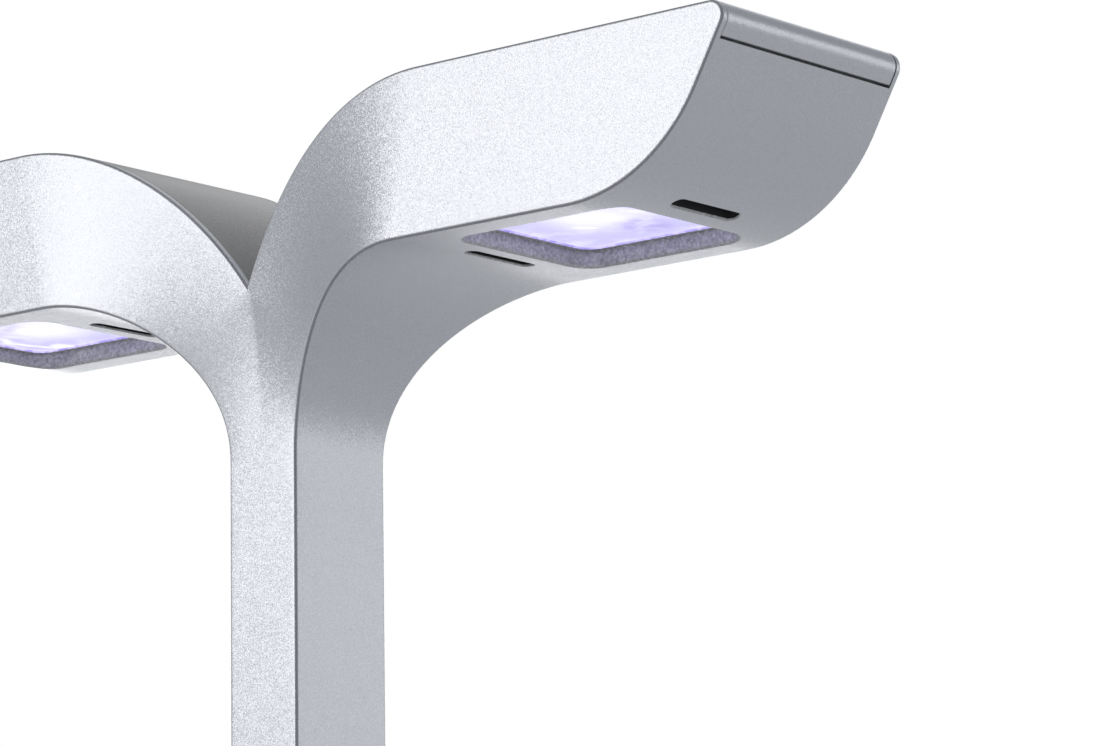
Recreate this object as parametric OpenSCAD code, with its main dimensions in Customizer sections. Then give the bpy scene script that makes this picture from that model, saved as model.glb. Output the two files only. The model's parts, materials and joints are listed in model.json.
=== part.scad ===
// Countertop hydroponic garden: a two-armed grow lamp on a post that slides in a water base.
// Millimetres, +Z up, +X along the right-hand arm, -Y towards the user.
// Origin: bottom centre of the base, on the surface that the feet stand on.

/* [Lamp] */
// Thickness of the post along the arms
post_x = 26; // [22:1:32]
// Width of the post across the arms
post_y = 38; // [32:1:46]
// Width of an arm
arm_w = 80; // [72:1:92]
// Thickness of an arm
arm_t = 48; // [44:1:56]
// Post axis to the sharp corner that the rounded nose stands for
arm_reach = 190; // [182:1:215]
// Planting deck to the underside of the arms, lamp lowered
lamp_gap = 216; // [180:1:280]
// How far out the inner bend reaches from the post's side
bend_reach = 56; // [48:1:60]
// How far down the post the inner bend starts
bend_drop = 50; // [42:1:60]
// Horizontal half axis of the elliptic outer bend
crown_a = 98; // [94:1:106]
// Vertical half axis of the elliptic outer bend
crown_b = 119; // [105:1:130]
// Post axis to the place where the outer bend runs level
crown_x = 79; // [74:1:84]
// Radius between the underside and the sloping end face
tip_r = 52; // [40:1:56]
// Lean of the end face from the vertical, in degrees
tip_lean = 30; // [22:1:36]
// Radius of the nose at the top of the end face
nose_r = 4.5; // [3.5:0.5:6]

/* [Top covers] */
// Width of the rail left on each side of a top cover
rail_w = 2.2; // [1.6:0.1:4]
// Thickness of a top cover
cover_t = 1.8; // [1.4:0.1:2.2]
// Height of the cover's end below the arm's top
cover_drop = 9.7; // [8:0.1:14]
// Seam between a cover and its rails
seam = 0.3; // [0.2:0.05:0.5]

/* [Light windows] */
// Middle of a window back from the sharp corner that the nose stands for
window_back = 78.5; // [76:0.5:82]
// Length of a window recess, along the arm
window_l = 58; // [54:1:64]
// Width of a window recess, across the arm
window_w = 58; // [54:1:66]
// Corner radius of a window recess
window_r = 7; // [4:0.5:10]
// Depth of a window recess
window_depth = 5; // [3:0.5:6]
// Flange left round the clear lens
window_lip = 1.5; // [1:0.25:3]
// Thickness of the clear lens
lens_t = 3; // [2:0.5:4]
// Length of an air slot
slot_l = 27.5; // [20:0.5:32]
// Width of an air slot
slot_w = 4; // [3:0.5:5]
// Window's edge to the middle of an air slot
slot_gap = 8; // [6.5:0.5:9]
// Rows and columns of light chips on each board
chip_rows = 4; // [2:1:5]
// Side of a light chip
chip_size = 3.5; // [2.8:0.1:5]
// Number of fins on a heat sink
fin_count = 9; // [5:1:12]

/* [Base] */
// Middle of an end pod to the base's end, at the rim
pod_end = 75; // [70:1:95]
// Middle of a pod to the base's long side, at the rim
pod_side = 56; // [53:1:70]
// Height of the planting deck above the surface
base_h = 96; // [92:1:110]
// Corner radius of the base, seen from above
base_r = 58; // [48:1:70]
// How much narrower each side is at the bottom
base_draft = 6; // [2:1:9]
// Wall of the outer housing
wall = 2.6; // [2:0.1:3.4]
// Rounding of the housing's lower edge
belly_r = 12; // [6:1:18]
// Height of the feet
foot_h = 3; // [2:0.5:5]
// Radius of a foot
foot_r = 10; // [7:1:14]

/* [Water tank] */
// Wall of the water tank
tank_wall = 2.2; // [1.6:0.1:3]
// Gap between housing and tank at the rim, on the long sides
tank_gap = 17; // [15:1:22]
// Height of the tank's underside above the surface
tank_z = 13; // [12:0.5:18]

/* [Deck] */
// Thickness of the planting deck
deck_t = 3; // [2.4:0.1:4]
// Depth of the deck's outer edge
deck_edge = 6; // [5:0.5:8]
// Rounding of the deck's upper edge
deck_r = 3; // [1.5:0.5:4]

/* [Pods] */
// Spacing of the pods along the arms
pod_dx = 125; // [112:1:132]
// Spacing of the pods across the arms
pod_dy = 118; // [112:1:128]
// Radius of a net cup below its rim
cup_r = 26; // [22:0.5:28]
// Radius of a net cup's rim
cup_rim_r = 30; // [28:0.5:32]
// Radius of a net cup's floor
cup_foot_r = 19; // [15:0.5:21]
// Depth of a net cup below the deck's top
cup_depth = 50; // [40:1:54]
// Wall of a net cup
cup_wall = 1.6; // [1.2:0.1:2.2]
// Number of slots round a net cup
cup_slots = 12; // [6:1:16]
// Radius of the stem hole in a pod cover
stem_r = 9; // [6:0.5:12]

/* [Pump] */
// Post axis to the pump's middle
pump_x = 62; // [56:1:66]
// Radius of the impeller
impeller_r = 9; // [7:0.5:10]
// Number of impeller vanes
vane_count = 6; // [4:1:8]
// Bore of the outlet tube
outlet_bore_r = 4; // [3:0.25:5]

/* [Controls] */
// Radius of a push button
button_r = 6.8; // [5:0.1:8]
// Distance between the two push buttons
button_dx = 40; // [32:1:46]
// Travel of a push button
button_travel = 1; // [0.6:0.1:1.4]
// Radius of the power inlet
jack_r = 2.8; // [2.75:0.05:3.5]

/* [Fits] */
// Gap between sliding or lifting pieces
slide_gap = 0.35; // [0.3:0.05:0.6]
// Radial clearance of a turning pin
pin_gap = 0.08; // [0.05:0.01:0.1]

/* [Hidden] */
$fn = 64;
EPS = 0.01;

// heights
deck_z = base_h;
under_z = deck_z + lamp_gap;
top_z = under_z + arm_t;
bend_z = under_z - bend_drop;
bend_x = post_x / 2 + bend_reach;

// base
base_l = 2 * (pod_dx + pod_end);
base_w = pod_dy + 2 * pod_side;
plate_t = 2.5;
plate_z = foot_h;
housing_z = plate_z + plate_t + 0.2;
rim_z = deck_z - deck_edge;
flange_t = 2;
housing_h = rim_z - flange_t - 0.3 - housing_z;
floor_ring = 26;
screw_r = 1.5;
boss_r = 4.5;
boss_h = 4;
head_room = 1.9;

// tank
tank_l = base_l - 2 * (wall + 8);
tank_w = base_w - 2 * (wall + tank_gap);
tank_r = base_r - wall - 10;
tank_h = rim_z - tank_z;
tank_floor = tank_z + tank_wall;
tank_draft = base_draft;

// post guide and the tower that keeps water away from it
guide_wall = 3;
guide_x = post_x + 2 * (slide_gap + guide_wall);
guide_y = post_y + 2 * (slide_gap + guide_wall);
tower_x = guide_x + 2 * (seam + tank_wall);
tower_y = guide_y + 2 * (seam + tank_wall);
tower_top = deck_z - 1;
collar_t = 4;
collar_lip = 4.6;
guide_rise = 22;
guide_z = tank_floor + guide_rise;
foot_rise = 8;
post_foot_z = tank_floor + foot_rise;
foot_block_h = 10;
collar_top = deck_z + collar_t;
collar_l = guide_x + 2 * collar_lip;
collar_w = guide_y + 2 * collar_lip;

// base plate, screws, feet and finger notches
floor_l = base_l - 2 * (base_draft + floor_ring);
floor_w = base_w - 2 * (base_draft + floor_ring);
floor_r = base_r - base_draft - floor_ring;
plate_over = 11;
base_screw_places = [
    for (x = [-1, 1], y = [-1, 1]) [x * pod_dx * 0.85, y * (floor_w + plate_over) / 2],
    for (x = [-1, 1], y = [-1, 1]) [x * (floor_l + plate_over) / 2, y * pod_dy / 4]];
foot_places = [for (x = [-1, 1], y = [-1, 1])
    [x * (floor_l / 2 - foot_r - 8), y * (floor_w / 2 - foot_r - 4)]];
notch_l = 52;
notch_h = 12;
notch_r = 7;
notch_depth = 7.6;

// deck ribs
rib_t = 1.8;
rib_h = 5;
rib_gap = 1.4;

// pods
deck_hole_r = cup_r + 0.6;
cup_rim_t = 2.2;
cup_slot_w = 0.84 * PI * cup_foot_r / cup_slots;
plug_gap = 0.5;
seed_r = 2;
seed_depth = 18;
plug_r = cup_r - cup_wall - plug_gap;
plug_foot_r = cup_foot_r - cup_wall - plug_gap;
cover_r = cup_r - cup_wall - 0.4;
cover_wall = 1.5;
cup_places = [for (row = [-0.5, 0.5]) for (col = [-1, 0, 1]) [col * pod_dx, row * pod_dy]];

// fill flap
flap_x = pod_dx / 2;
flap_edge = 36;
flap_y = flap_edge - base_w / 2;
flap_l = 40;
flap_w = 30;
flap_t = 2.4;
flap_pin_r = 1.3;
flap_knuckle_r = 2.6;
flap_axis_y = flap_y + flap_w / 2 + 1.2;
flap_axis_z = deck_z + flap_knuckle_r + 2 * slide_gap;

// float
float_x = pod_dx / 2;
float_y = 12;
float_r = 13;
float_h = 16;
float_travel = 20;
rod_r = 2.5;
float_tip_r = 4.5;
cage_r = float_r + 1.4;
cage_wall = 1.6;
cage_h = 3 + float_h + float_travel + 3;

// pump
pump_l = 42;
pump_w = 30;
pump_h = 34;
pump_foot = 3;
pump_z = tank_floor + pump_foot + 0.3;
pump_axis_z = pump_z + 15;
shaft_r = 1;
rotor_len = 15;

// controls
panel_l = 82;
panel_h = 26;
panel_t = 4;
panel_z = (housing_z + rim_z) / 2 + 2;
panel_y = -base_w / 2 + 1.4;
button_flange = 1.4;
button_flange_t = 1.4;
button_stem = 3;
switch_h = 2;
plunger_h = 0.4;
board_t = 1.6;
board_y = panel_y + panel_t + slide_gap + button_flange_t + button_stem + button_travel + 0.2
    + plunger_h + switch_h;
light_r = 1.5;
light_places = [-6, 0, 6];
standoff_x = panel_l / 2 - 9;
clip_x = panel_l / 2 - 20;

// power inlet
inlet_r = jack_r + 3.2;
inlet_x = pod_dx;
inlet_z = housing_z + belly_r + 12;
inlet_out = 1.4;
inlet_y = base_w / 2 - base_draft * (1 - (inlet_z - housing_z - belly_r)
    / (housing_h - 0.8 - belly_r)) + inlet_out;
inlet_flange = 1.6;
jack_depth = 9.5;

// lamp body interior
window_x = arm_reach - window_back;
lens_z = under_z + window_depth + window_lip;
chamber_h = 5;
led_board_z = lens_z + lens_t + 0.2 + chamber_h;
led_board_t = 1.6;
sink_base_t = 3;
sink_top = 16;
sink_room = 6;
sink_h = min(sink_top, top_z - cover_t - sink_room - led_board_z - led_board_t);
room_over = 1.25;
room_l = window_l + 2 * (slot_gap + slot_w / 2 + room_over);
room_w = window_w + 2;
room_z = under_z + window_depth + window_lip;
pillar_r = 3.2;
pillar_out = 4.2;
pillar_in = 9;
pillar_x = window_l / 2 + pillar_out;
pillar_y = window_w / 2 - pillar_in;
duct_r = 5;
lead_r = 1.6;
room_start = [window_x - room_l / 2, (under_z + top_z) / 2];
fin_t = 1.6;
sink_edge = 4;
sink_l = 2 * (pillar_x + sink_edge);
sink_w = window_w - sink_edge;
rotor_r = 0.6 * impeller_r;

// ---------------------------------------------------------------- shared shapes

// Half section of a rim: x from the corner's centre outwards, y upwards.
function fillet(cx, cy, r, from, to, steps = 6) =
    r <= 0 ? [[cx, cy]] : [for (i = [0:steps])
        let (a = from + (to - from) * i / steps) [cx + r * cos(a), cy + r * sin(a)]];
function rim_section(r, h, draft, low_r, high_r) = concat(
    [[0, 0]],
    fillet(r - draft - low_r, low_r, low_r, -90, 0),
    fillet(r - high_r, h - high_r, high_r, 0, 90),
    [[0, h]]);

// A rounded block with drafted sides and rounded lower and upper edges.
module bowl(l, w, h, r, draft = 0, low_r = 0, high_r = 0) {
    section = rim_section(r, h, draft, low_r, high_r);
    for (c = [[1, 1, 0], [-1, 1, 90], [-1, -1, 180], [1, -1, 270]])
        translate([c[0] * (l / 2 - r), c[1] * (w / 2 - r), 0])
            rotate([0, 0, c[2]]) rotate_extrude(angle = 90) polygon(section);
    bowl_bar(l - 2 * r, w, r, section);
    rotate([0, 0, 90]) bowl_bar(w - 2 * r, l, r, section);
}
module bowl_bar(length, width, r, section) {
    side = [for (p = section) [p[0] + width / 2 - r, p[1]]];
    half = [for (i = [1:len(side) - 2]) side[i]];
    other = [for (i = [len(half) - 1:-1:0]) [-half[i][0], half[i][1]]];
    rotate([90, 0, 90]) linear_extrude(length, center = true) polygon(concat(half, other));
}

// A flat plate with round corners, made of exact arcs.
module round_rect(l, w, r) {
    if (l > 2 * r) square([l - 2 * r, w], center = true);
    if (w > 2 * r) square([l, w - 2 * r], center = true);
    for (x = [-1, 1], y = [-1, 1]) translate([x * (l / 2 - r), y * (w / 2 - r)]) circle(r);
}
module plate(l, w, r, t) linear_extrude(t) round_rect(l, w, r);
module upright_plate(l, h, r, t) rotate([90, 0, 0]) linear_extrude(t, center = true) round_rect(l, h, r);

// Places its children on the right arm, or turned about the post for the left arm.
module on_arm(side) rotate([0, 0, side > 0 ? 0 : 180]) children();

// ---------------------------------------------------------------- lamp body

// The flare: a section turns through the bend from the post to the arm and grows wider.
BEND_LOW = 12;   // sections below the crotch
BEND_HIGH = 34;  // sections from the crotch to the arm
crotch_a = acos(crown_x / crown_a);
function ease(t) = t * t * (3 - 2 * t);
function flare_w(a) = post_y + (arm_w - post_y) * ease(pow(a / 90, 1.15));
function inner_x(a) = bend_x - bend_reach * cos(a);
function inner_z(a) = bend_z + bend_drop * sin(a);
function outer_x(a, inset = 0) = crown_x - (crown_a - inset) * cos(a);
function outer_z(a, inset = 0) = top_z - crown_b + (crown_b - inset) * sin(a);
function low_outer_z(a) = bend_z + (outer_z(crotch_a) - bend_z) * a / crotch_a;

bend_sections = concat(
    [for (i = [0:BEND_LOW]) crotch_a * i / BEND_LOW],
    [for (i = [1:BEND_HIGH]) crotch_a + (90 - crotch_a) * i / BEND_HIGH]);

// Points of one section: inner near, inner far, outer near, outer far, for one side.
function bend_points(a, side) = let (
        w = flare_w(a) / 2,
        ox = a < crotch_a ? 0 : side * max(0, outer_x(a)),
        oz = a < crotch_a ? low_outer_z(a) : outer_z(a))
    [[side * inner_x(a), -w, inner_z(a)], [side * inner_x(a), w, inner_z(a)], [ox, -w, oz], [ox, w, oz]];

// Index of point k of section i on a side; both sides share the outer points below the crotch.
function bend_at(i, k, side) = i * 8 + k + (side > 0 || (k > 1 && i <= BEND_LOW) ? 0 : 4);
function quad(a, b, c, d) = [[a, b, c], [a, c, d]];
function turned(faces, side) = side > 0 ? faces : [for (f = faces) [f[2], f[1], f[0]]];
function bend_strip(i, side) = let (j = i + 1) concat(
    quad(bend_at(i, 2, side), bend_at(j, 2, side), bend_at(j, 0, side), bend_at(i, 0, side)),
    quad(bend_at(i, 1, side), bend_at(j, 1, side), bend_at(j, 3, side), bend_at(i, 3, side)),
    quad(bend_at(i, 0, side), bend_at(j, 0, side), bend_at(j, 1, side), bend_at(i, 1, side)),
    i < BEND_LOW ? [] :
        quad(bend_at(i, 3, side), bend_at(j, 3, side), bend_at(j, 2, side), bend_at(i, 2, side)));
function bend_ends(side) = let (n = BEND_LOW + BEND_HIGH) concat(
    quad(bend_at(0, 0, side), bend_at(0, 1, side), bend_at(0, 3, side), bend_at(0, 2, side)),
    quad(bend_at(n, 0, side), bend_at(n, 2, side), bend_at(n, 3, side), bend_at(n, 1, side)));

module flare() {
    points = [for (a = bend_sections) each concat(bend_points(a, 1), bend_points(a, -1))];
    faces = [for (side = [1, -1]) each turned(concat(
        [for (i = [0:BEND_LOW + BEND_HIGH - 1]) each bend_strip(i, side)], bend_ends(side)), side)];
    polyhedron(points, faces, convexity = 8);
}

// Side view of an arm from the end of the bend to the nose, drawn inwards by a distance.
function slope_x(z, inset = 0) = arm_reach - inset / cos(tip_lean) - (top_z - z) * tan(tip_lean);
module arm_outline(inset = 0) {
    turn = 90 - tip_lean;
    tip_end_z = under_z + tip_r * (1 - cos(turn));
    tip_end = [slope_x(tip_end_z, inset), tip_end_z];
    tip_start = [tip_end[0] - tip_r * sin(turn), under_z];
    flat_z = top_z - inset;
    round_r = nose_r - inset;
    corner = [slope_x(flat_z, inset), flat_z];
    cut = round_r / tan(turn / 2);
    nose_low = corner - cut * [sin(tip_lean), cos(tip_lean)];
    nose_top = corner - [cut, 0];
    polygon([[bend_x, under_z], tip_start, tip_end, nose_low, nose_top, [crown_x, flat_z]]);
    intersection() {
        translate(tip_start + [0, tip_r]) circle(tip_r, $fn = 128);
        polygon([tip_start, [slope_x(under_z, inset), under_z], tip_end]);
    }
    intersection() {
        translate(nose_top - [0, round_r]) circle(round_r);
        polygon([nose_low, corner, nose_top]);
    }
}
module side_prism(width) rotate([90, 0, 0]) linear_extrude(width, center = true) children();

// Skin of the arm between two depths, from the crotch to the nose, short of each side by a margin.
CROWN_STEPS = 30;
function crown_start(inset, x) = acos((crown_x - x) / (crown_a - inset));
function crown_point(inset, x, t, w) = let (
        a = crown_start(inset, x) + (90 - crown_start(inset, x)) * t)
    [[outer_x(a, inset), -w, outer_z(a, inset)], [outer_x(a, inset), w, outer_z(a, inset)]];
function crown_section(high, low, margin, x, t) = let (
        w = flare_w(crotch_a + (90 - crotch_a) * t) / 2 - margin)
    concat(crown_point(low, x, t, w), crown_point(high, x, t, w));
module crown_strip(high, low, margin, x) {
    n = CROWN_STEPS;
    points = [for (i = [0:n]) each crown_section(high, low, margin, x, i / n)];
    faces = concat(
        quad(0, 1, 3, 2), quad(4 * n, 4 * n + 2, 4 * n + 3, 4 * n + 1),
        [for (i = [0:n - 1]) let (p = 4 * i, q = p + 4) each concat(
            quad(p + 2, q + 2, q, p), quad(p + 1, q + 1, q + 3, p + 3),
            quad(p, q, q + 1, p + 1), quad(p + 3, q + 3, q + 2, p + 2))]);
    polyhedron(points, faces, convexity = 6);
}
module arm_skin(high, low, margin, x, end_z) {
    crown_strip(high, low, margin, x);
    side_prism(arm_w - 2 * margin) intersection() {
        difference() {
            arm_outline(high);
            arm_outline(low);
        }
        translate([crown_x, end_z]) square([arm_reach, top_z - end_z + 5]);
    }
}

// ---------------------------------------------------------------- lamp

// Middle of the bend, from the post (0 degrees) to the arm (90 degrees).
function bend_middle(a) = a < crotch_a
    ? [inner_x(a) / 2 * a / crotch_a, (inner_z(a) + low_outer_z(a)) / 2]
    : [(inner_x(a) + outer_x(a)) / 2, (inner_z(a) + outer_z(a)) / 2];
function unit(v) = v / norm(v);

// A tube through points of the XZ plane, at one y.
module tube(route, y, r, sides) {
    last = len(route) - 1;
    points = [for (i = [0:last]) let (
            d = unit(route[min(i + 1, last)] - route[max(i - 1, 0)]))
        for (k = [0:sides - 1]) let (t = 360 * k / sides)
            [route[i][0] - r * d[1] * sin(t), y + r * cos(t), route[i][1] + r * d[0] * sin(t)]];
    faces = concat(
        [[for (k = [0:sides - 1]) k]],
        [[for (k = [sides - 1:-1:0]) last * sides + k]],
        [for (i = [0:last - 1], k = [0:sides - 1]) let (n = (k + 1) % sides, j = i + 1)
            each quad(i * sides + k, j * sides + k, j * sides + n, i * sides + n)]);
    polyhedron(points, faces, convexity = 6);
}

// Route of one lead from a height on the post's axis up through the bend into an arm's light room.
function lead_route(low, reach) = concat(
    [for (z = low) [0, z]], [for (a = [0:12:84]) bend_middle(a)], [room_start + [reach, 0]]);
module lead_ducts() {
    for (side = [1, -1]) on_arm(side) tube(lead_route([bend_z - 12], 2), 0, duct_r - 0.6, 12);
    translate([0, 0, post_foot_z - 1]) cylinder(bend_z - post_foot_z + 1, duct_r, duct_r);
}

module slot_outline() {
    square([slot_w, slot_l - slot_w], center = true);
    for (y = [-1, 1]) translate([0, y * (slot_l - slot_w) / 2]) circle(slot_w / 2);
}
module at_window(z) translate([window_x, 0, z]) children();
module at_pillars(z) at_window(z)
    for (x = [-1, 1], y = [-1, 1]) translate([x * pillar_x, y * pillar_y, 0]) children();

module arm_cuts() {
    arm_skin(-1.5, cover_t + 0.15, rail_w, 0, top_z - cover_drop - 0.8);
    at_window(room_z) plate(room_l, room_w, 4, arm_t);
    at_window(under_z - 1) plate(window_l, window_w, window_r, window_depth + 1);
    at_window(under_z)
        plate(window_l - 2 * window_lip, window_w - 2 * window_lip, window_r - window_lip, arm_t / 2);
    for (x = [-1, 1]) translate([window_x + x * (window_l / 2 + slot_gap), 0, under_z - 1])
        linear_extrude(arm_t / 2) slot_outline();
}
module lamp_body() color("silver") {
    difference() {
        union() {
            flare();
            for (side = [1, -1]) on_arm(side) side_prism(arm_w) arm_outline();
            translate([-post_x / 2, -post_y / 2, post_foot_z + foot_block_h])
                cube([post_x, post_y, bend_z - post_foot_z - foot_block_h]);
        }
        for (side = [1, -1]) on_arm(side) arm_cuts();
        lead_ducts();
    }
    for (side = [1, -1]) on_arm(side) difference() {
        at_pillars(room_z - 0.5) cylinder(led_board_z - room_z + 0.5, pillar_r, pillar_r);
        at_pillars(room_z + 2) cylinder(arm_t, screw_r, screw_r);
    }
}
module lamp_lead() color("dimgray") for (side = [1, -1]) on_arm(side)
    tube(lead_route([post_foot_z + foot_block_h, bend_z - post_x], 6), lead_r + 0.5, lead_r, 8);
module post_foot() color("#303234") {
    translate([0, 0, post_foot_z]) plate(post_x - 1, post_y - 1, 2, 1.5);
    translate([0, 0, post_foot_z + 1.5]) plate(post_x, post_y, 1, foot_block_h - 1.5);
}
module top_cover(side) color("#8f9092") on_arm(side)
    arm_skin(0, cover_t, rail_w + seam, seam / 2, top_z - cover_drop);
module lens(side) color("#e8e4ff", 0.5) on_arm(side) {
    at_window(lens_z) plate(window_l, window_w, window_r, lens_t);
    at_window(lens_z - window_lip + 0.3) plate(window_l - 2 * window_lip - 0.8,
        window_w - 2 * window_lip - 0.8, window_r - window_lip, window_lip - 0.3 + EPS);
}
module light_chamber(side) color("white") on_arm(side) difference() {
    at_window(lens_z + lens_t) plate(window_l, window_w, window_r, chamber_h);
    at_window(lens_z + lens_t - 1) plate(window_l - 7, window_w - 7, window_r - 2, chamber_h + 2);
}
module led_board(side) color("#f2f2ee") on_arm(side) difference() {
    at_window(led_board_z) plate(sink_l, sink_w, 3, led_board_t);
    at_pillars(led_board_z - 1) cylinder(led_board_t + 2, screw_r + 0.2, screw_r + 0.2);
}
module led_chips(side) color("#fff3b0") on_arm(side) {
    pitch = (window_l - 20) / (chip_rows - 1);
    for (i = [0:chip_rows - 1], j = [0:chip_rows - 1])
        translate([window_x + (i - (chip_rows - 1) / 2) * pitch, (j - (chip_rows - 1) / 2) * pitch,
            led_board_z - 1.2]) {
            translate([-chip_size / 2, -chip_size / 2, 0]) cube([chip_size, chip_size, 1.2]);
            translate([0, 0, -0.5]) cylinder(0.6, chip_size * 0.32, chip_size * 0.4);
        }
}
module heat_sink(side) color("#a9acb0") on_arm(side) {
    z = led_board_z + led_board_t;
    pitch = (sink_w - fin_t) / (fin_count - 1);
    difference() {
        at_window(z) plate(sink_l, sink_w, 3, sink_base_t);
        at_pillars(z - 1) cylinder(sink_base_t + 2, screw_r + 0.2, screw_r + 0.2);
    }
    for (i = [0:fin_count - 1])
        translate([window_x, (i - (fin_count - 1) / 2) * pitch, z + sink_base_t - EPS])
            linear_extrude(sink_h - sink_base_t) square([window_l - 2, fin_t], center = true);
}
module screw(length) {
    cylinder(length + EPS, screw_r - 0.05, screw_r - 0.05);
    translate([0, 0, length]) difference() {
        cylinder(1.8, 2.8, 2.4);
        translate([0, 0, 0.8]) for (a = [0, 90]) rotate([0, 0, a])
            translate([-0.4, -1.6, 0]) cube([0.8, 3.2, 2]);
    }
}
module heat_sink_screws() color("#6f7276") for (side = [1, -1]) on_arm(side) {
    length = led_board_t + sink_base_t + 4;
    at_pillars(led_board_z + led_board_t + sink_base_t - length) screw(length);
}

// ---------------------------------------------------------------- base

module at_places(places, z) for (p = places) translate([p[0], p[1], z]) children();

module finger_notches() for (x = [-1, 1])
    translate([x * base_l / 2, 0, rim_z]) rotate([0, 0, 90])
        upright_plate(notch_l, 2 * notch_h, notch_r, 2 * (wall + notch_depth));

module housing_shell() difference() {
    union() {
        difference() {
            translate([0, 0, housing_z])
                bowl(base_l, base_w, housing_h, base_r, base_draft, belly_r, 0.8);
            translate([0, 0, housing_z + wall])
                bowl(base_l - 2 * wall, base_w - 2 * wall, housing_h, base_r - wall, base_draft,
                    belly_r - wall);
            translate([0, 0, housing_z - 1]) plate(floor_l, floor_w, floor_r, wall + 2);
        }
        at_places(base_screw_places, housing_z + wall - EPS) cylinder(boss_h, boss_r, boss_r);
    }
    at_places(base_screw_places, housing_z - 1) cylinder(wall + boss_h + 2, screw_r, screw_r);
    translate([0, panel_y, panel_z])
        upright_plate(panel_l + 2 * seam, panel_h + 2 * seam, panel_h / 2 + seam, 24);
    at_inlet(-8) cylinder(24, inlet_r + seam, inlet_r + seam);
    finger_notches();
}

// The shell is made of a front, a rear and two ends, which meet where the corners begin.
end_seam = base_l / 2 - base_r;
module housing_wall(side) color("silver") intersection() {
    housing_shell();
    translate([0, side * base_w / 2, deck_z / 2])
        cube([2 * end_seam - seam, base_w - seam, deck_z], center = true);
}
module housing_end(side) color("silver") intersection() {
    housing_shell();
    translate([side * (end_seam + seam / 2 + base_r), 0, deck_z / 2])
        cube([2 * base_r, base_w + 2, deck_z], center = true);
}
module bottom_plate() color("#55585b") difference() {
    translate([0, 0, plate_z])
        plate(floor_l + 2 * plate_over, floor_w + 2 * plate_over, floor_r + plate_over, plate_t);
    at_places(base_screw_places, plate_z - 1) cylinder(plate_t + 2, screw_r + 0.2, screw_r + 0.2);
    at_places(base_screw_places, plate_z - 1) cylinder(head_room + 1, 3.1, 3.1);
    for (x = [-5:5]) translate([x * 9, floor_w / 4, plate_z - 1]) plate(3, 30, 1.5, plate_t + 2);
}
module rubber_feet() color("#2a2b2c") at_places(foot_places, 0) rotate_extrude()
    polygon([[0, 0.6], [foot_r - 4, 0.6], [foot_r - 3, 0], [foot_r - 1, 0], [foot_r, 1],
        [foot_r, foot_h], [0, foot_h]]);
module base_screws() color("#6f7276") {
    length = 6.6;
    at_places(base_screw_places, plate_z + head_room + length) mirror([0, 0, 1]) screw(length);
}

// ---------------------------------------------------------------- water tank and lamp guide

module tower_hole(z, h) translate([0, 0, z])
    plate(guide_x + 2 * seam, guide_y + 2 * seam, 3.3, h);
module water_tank() color("#e9ebec") difference() {
    union() {
        difference() {
            union() {
                translate([0, 0, tank_z])
                    bowl(tank_l, tank_w, tank_h, tank_r, tank_draft, 9);
                translate([0, 0, rim_z - flange_t])
                    plate(base_l - 1.2, base_w - 1.2, base_r - 0.6, flange_t);
            }
            translate([0, 0, tank_floor]) bowl(tank_l - 2 * tank_wall, tank_w - 2 * tank_wall,
                tank_h, tank_r - tank_wall, tank_draft, 9 - tank_wall);
        }
        translate([0, 0, tank_floor - EPS]) plate(tower_x, tower_y, 5.5, tower_top - tank_floor);
    }
    tower_hole(post_foot_z - 0.3, tower_top);
    translate([0, 0, tank_z - 1]) plate(post_x - 6, post_y - 8, 3, post_foot_z);
    finger_notches();
}
module post_guide() color("#77797c") difference() {
    union() {
        translate([0, 0, guide_z]) plate(guide_x, guide_y, 3, tower_top - guide_z + 1);
        translate([0, 0, tower_top + 0.3]) plate(collar_l, collar_w, 6, collar_top - tower_top - 1.5);
        translate([0, 0, collar_top - 1.5]) plate(collar_l - 1.6, collar_w - 1.6, 5.2, 1.2);
    }
    translate([0, 0, guide_z - 1])
        plate(post_x + 2 * slide_gap, post_y + 2 * slide_gap, 0.8, collar_top);
}

// ---------------------------------------------------------------- planting deck

module planting_deck() color("#f0f1f1") difference() {
    union() {
        difference() {
            translate([0, 0, rim_z + 0.3])
                bowl(base_l, base_w, deck_z - rim_z - 0.3, base_r, 0, 0.5, deck_r);
            translate([0, 0, rim_z - 1])
                plate(base_l - 6, base_w - 6, base_r - 3, deck_z - deck_t - rim_z + 1);
        }
        difference() {
            deck_rib(0);
            deck_rib(rib_t);
        }
        at_places(cup_places, deck_z - deck_t - 5) cylinder(6, deck_hole_r + 2, deck_hole_r + 2);
        for (x = [-1, 1]) translate([flap_x + x * (flap_l / 2 + 1.6), flap_axis_y, flap_axis_z])
            hinge_ear();
    }
    at_places(cup_places, rim_z - 10) cylinder(30, deck_hole_r, deck_hole_r);
    translate([0, 0, rim_z - 1]) plate(collar_l + 2.4, collar_w + 2.4, 7, 20);
    translate([float_x, float_y, rim_z - 1]) cylinder(20, float_tip_r + 1, float_tip_r + 1);
    translate([flap_x, flap_y, rim_z - 1]) plate(flap_l - 12, flap_w - 10, 4, 20);
    translate([flap_x, flap_axis_y, flap_axis_z]) rotate([0, 90, 0])
        cylinder(flap_l + 20, flap_pin_r, flap_pin_r, center = true);
}
module deck_rib(inset) {
    gap = tank_wall + rib_gap + inset;
    translate([0, 0, rim_z - rib_h])
        plate(tank_l - 2 * gap, tank_w - 2 * gap, tank_r - gap, deck_z - deck_t - rim_z + rib_h + EPS);
}
module hinge_ear() rotate([90, 0, 90]) linear_extrude(3, center = true) {
    circle(flap_knuckle_r);
    translate([-flap_knuckle_r, deck_z - flap_axis_z - 0.5])
        square([2 * flap_knuckle_r, flap_axis_z - deck_z + 0.5]);
}
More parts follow.
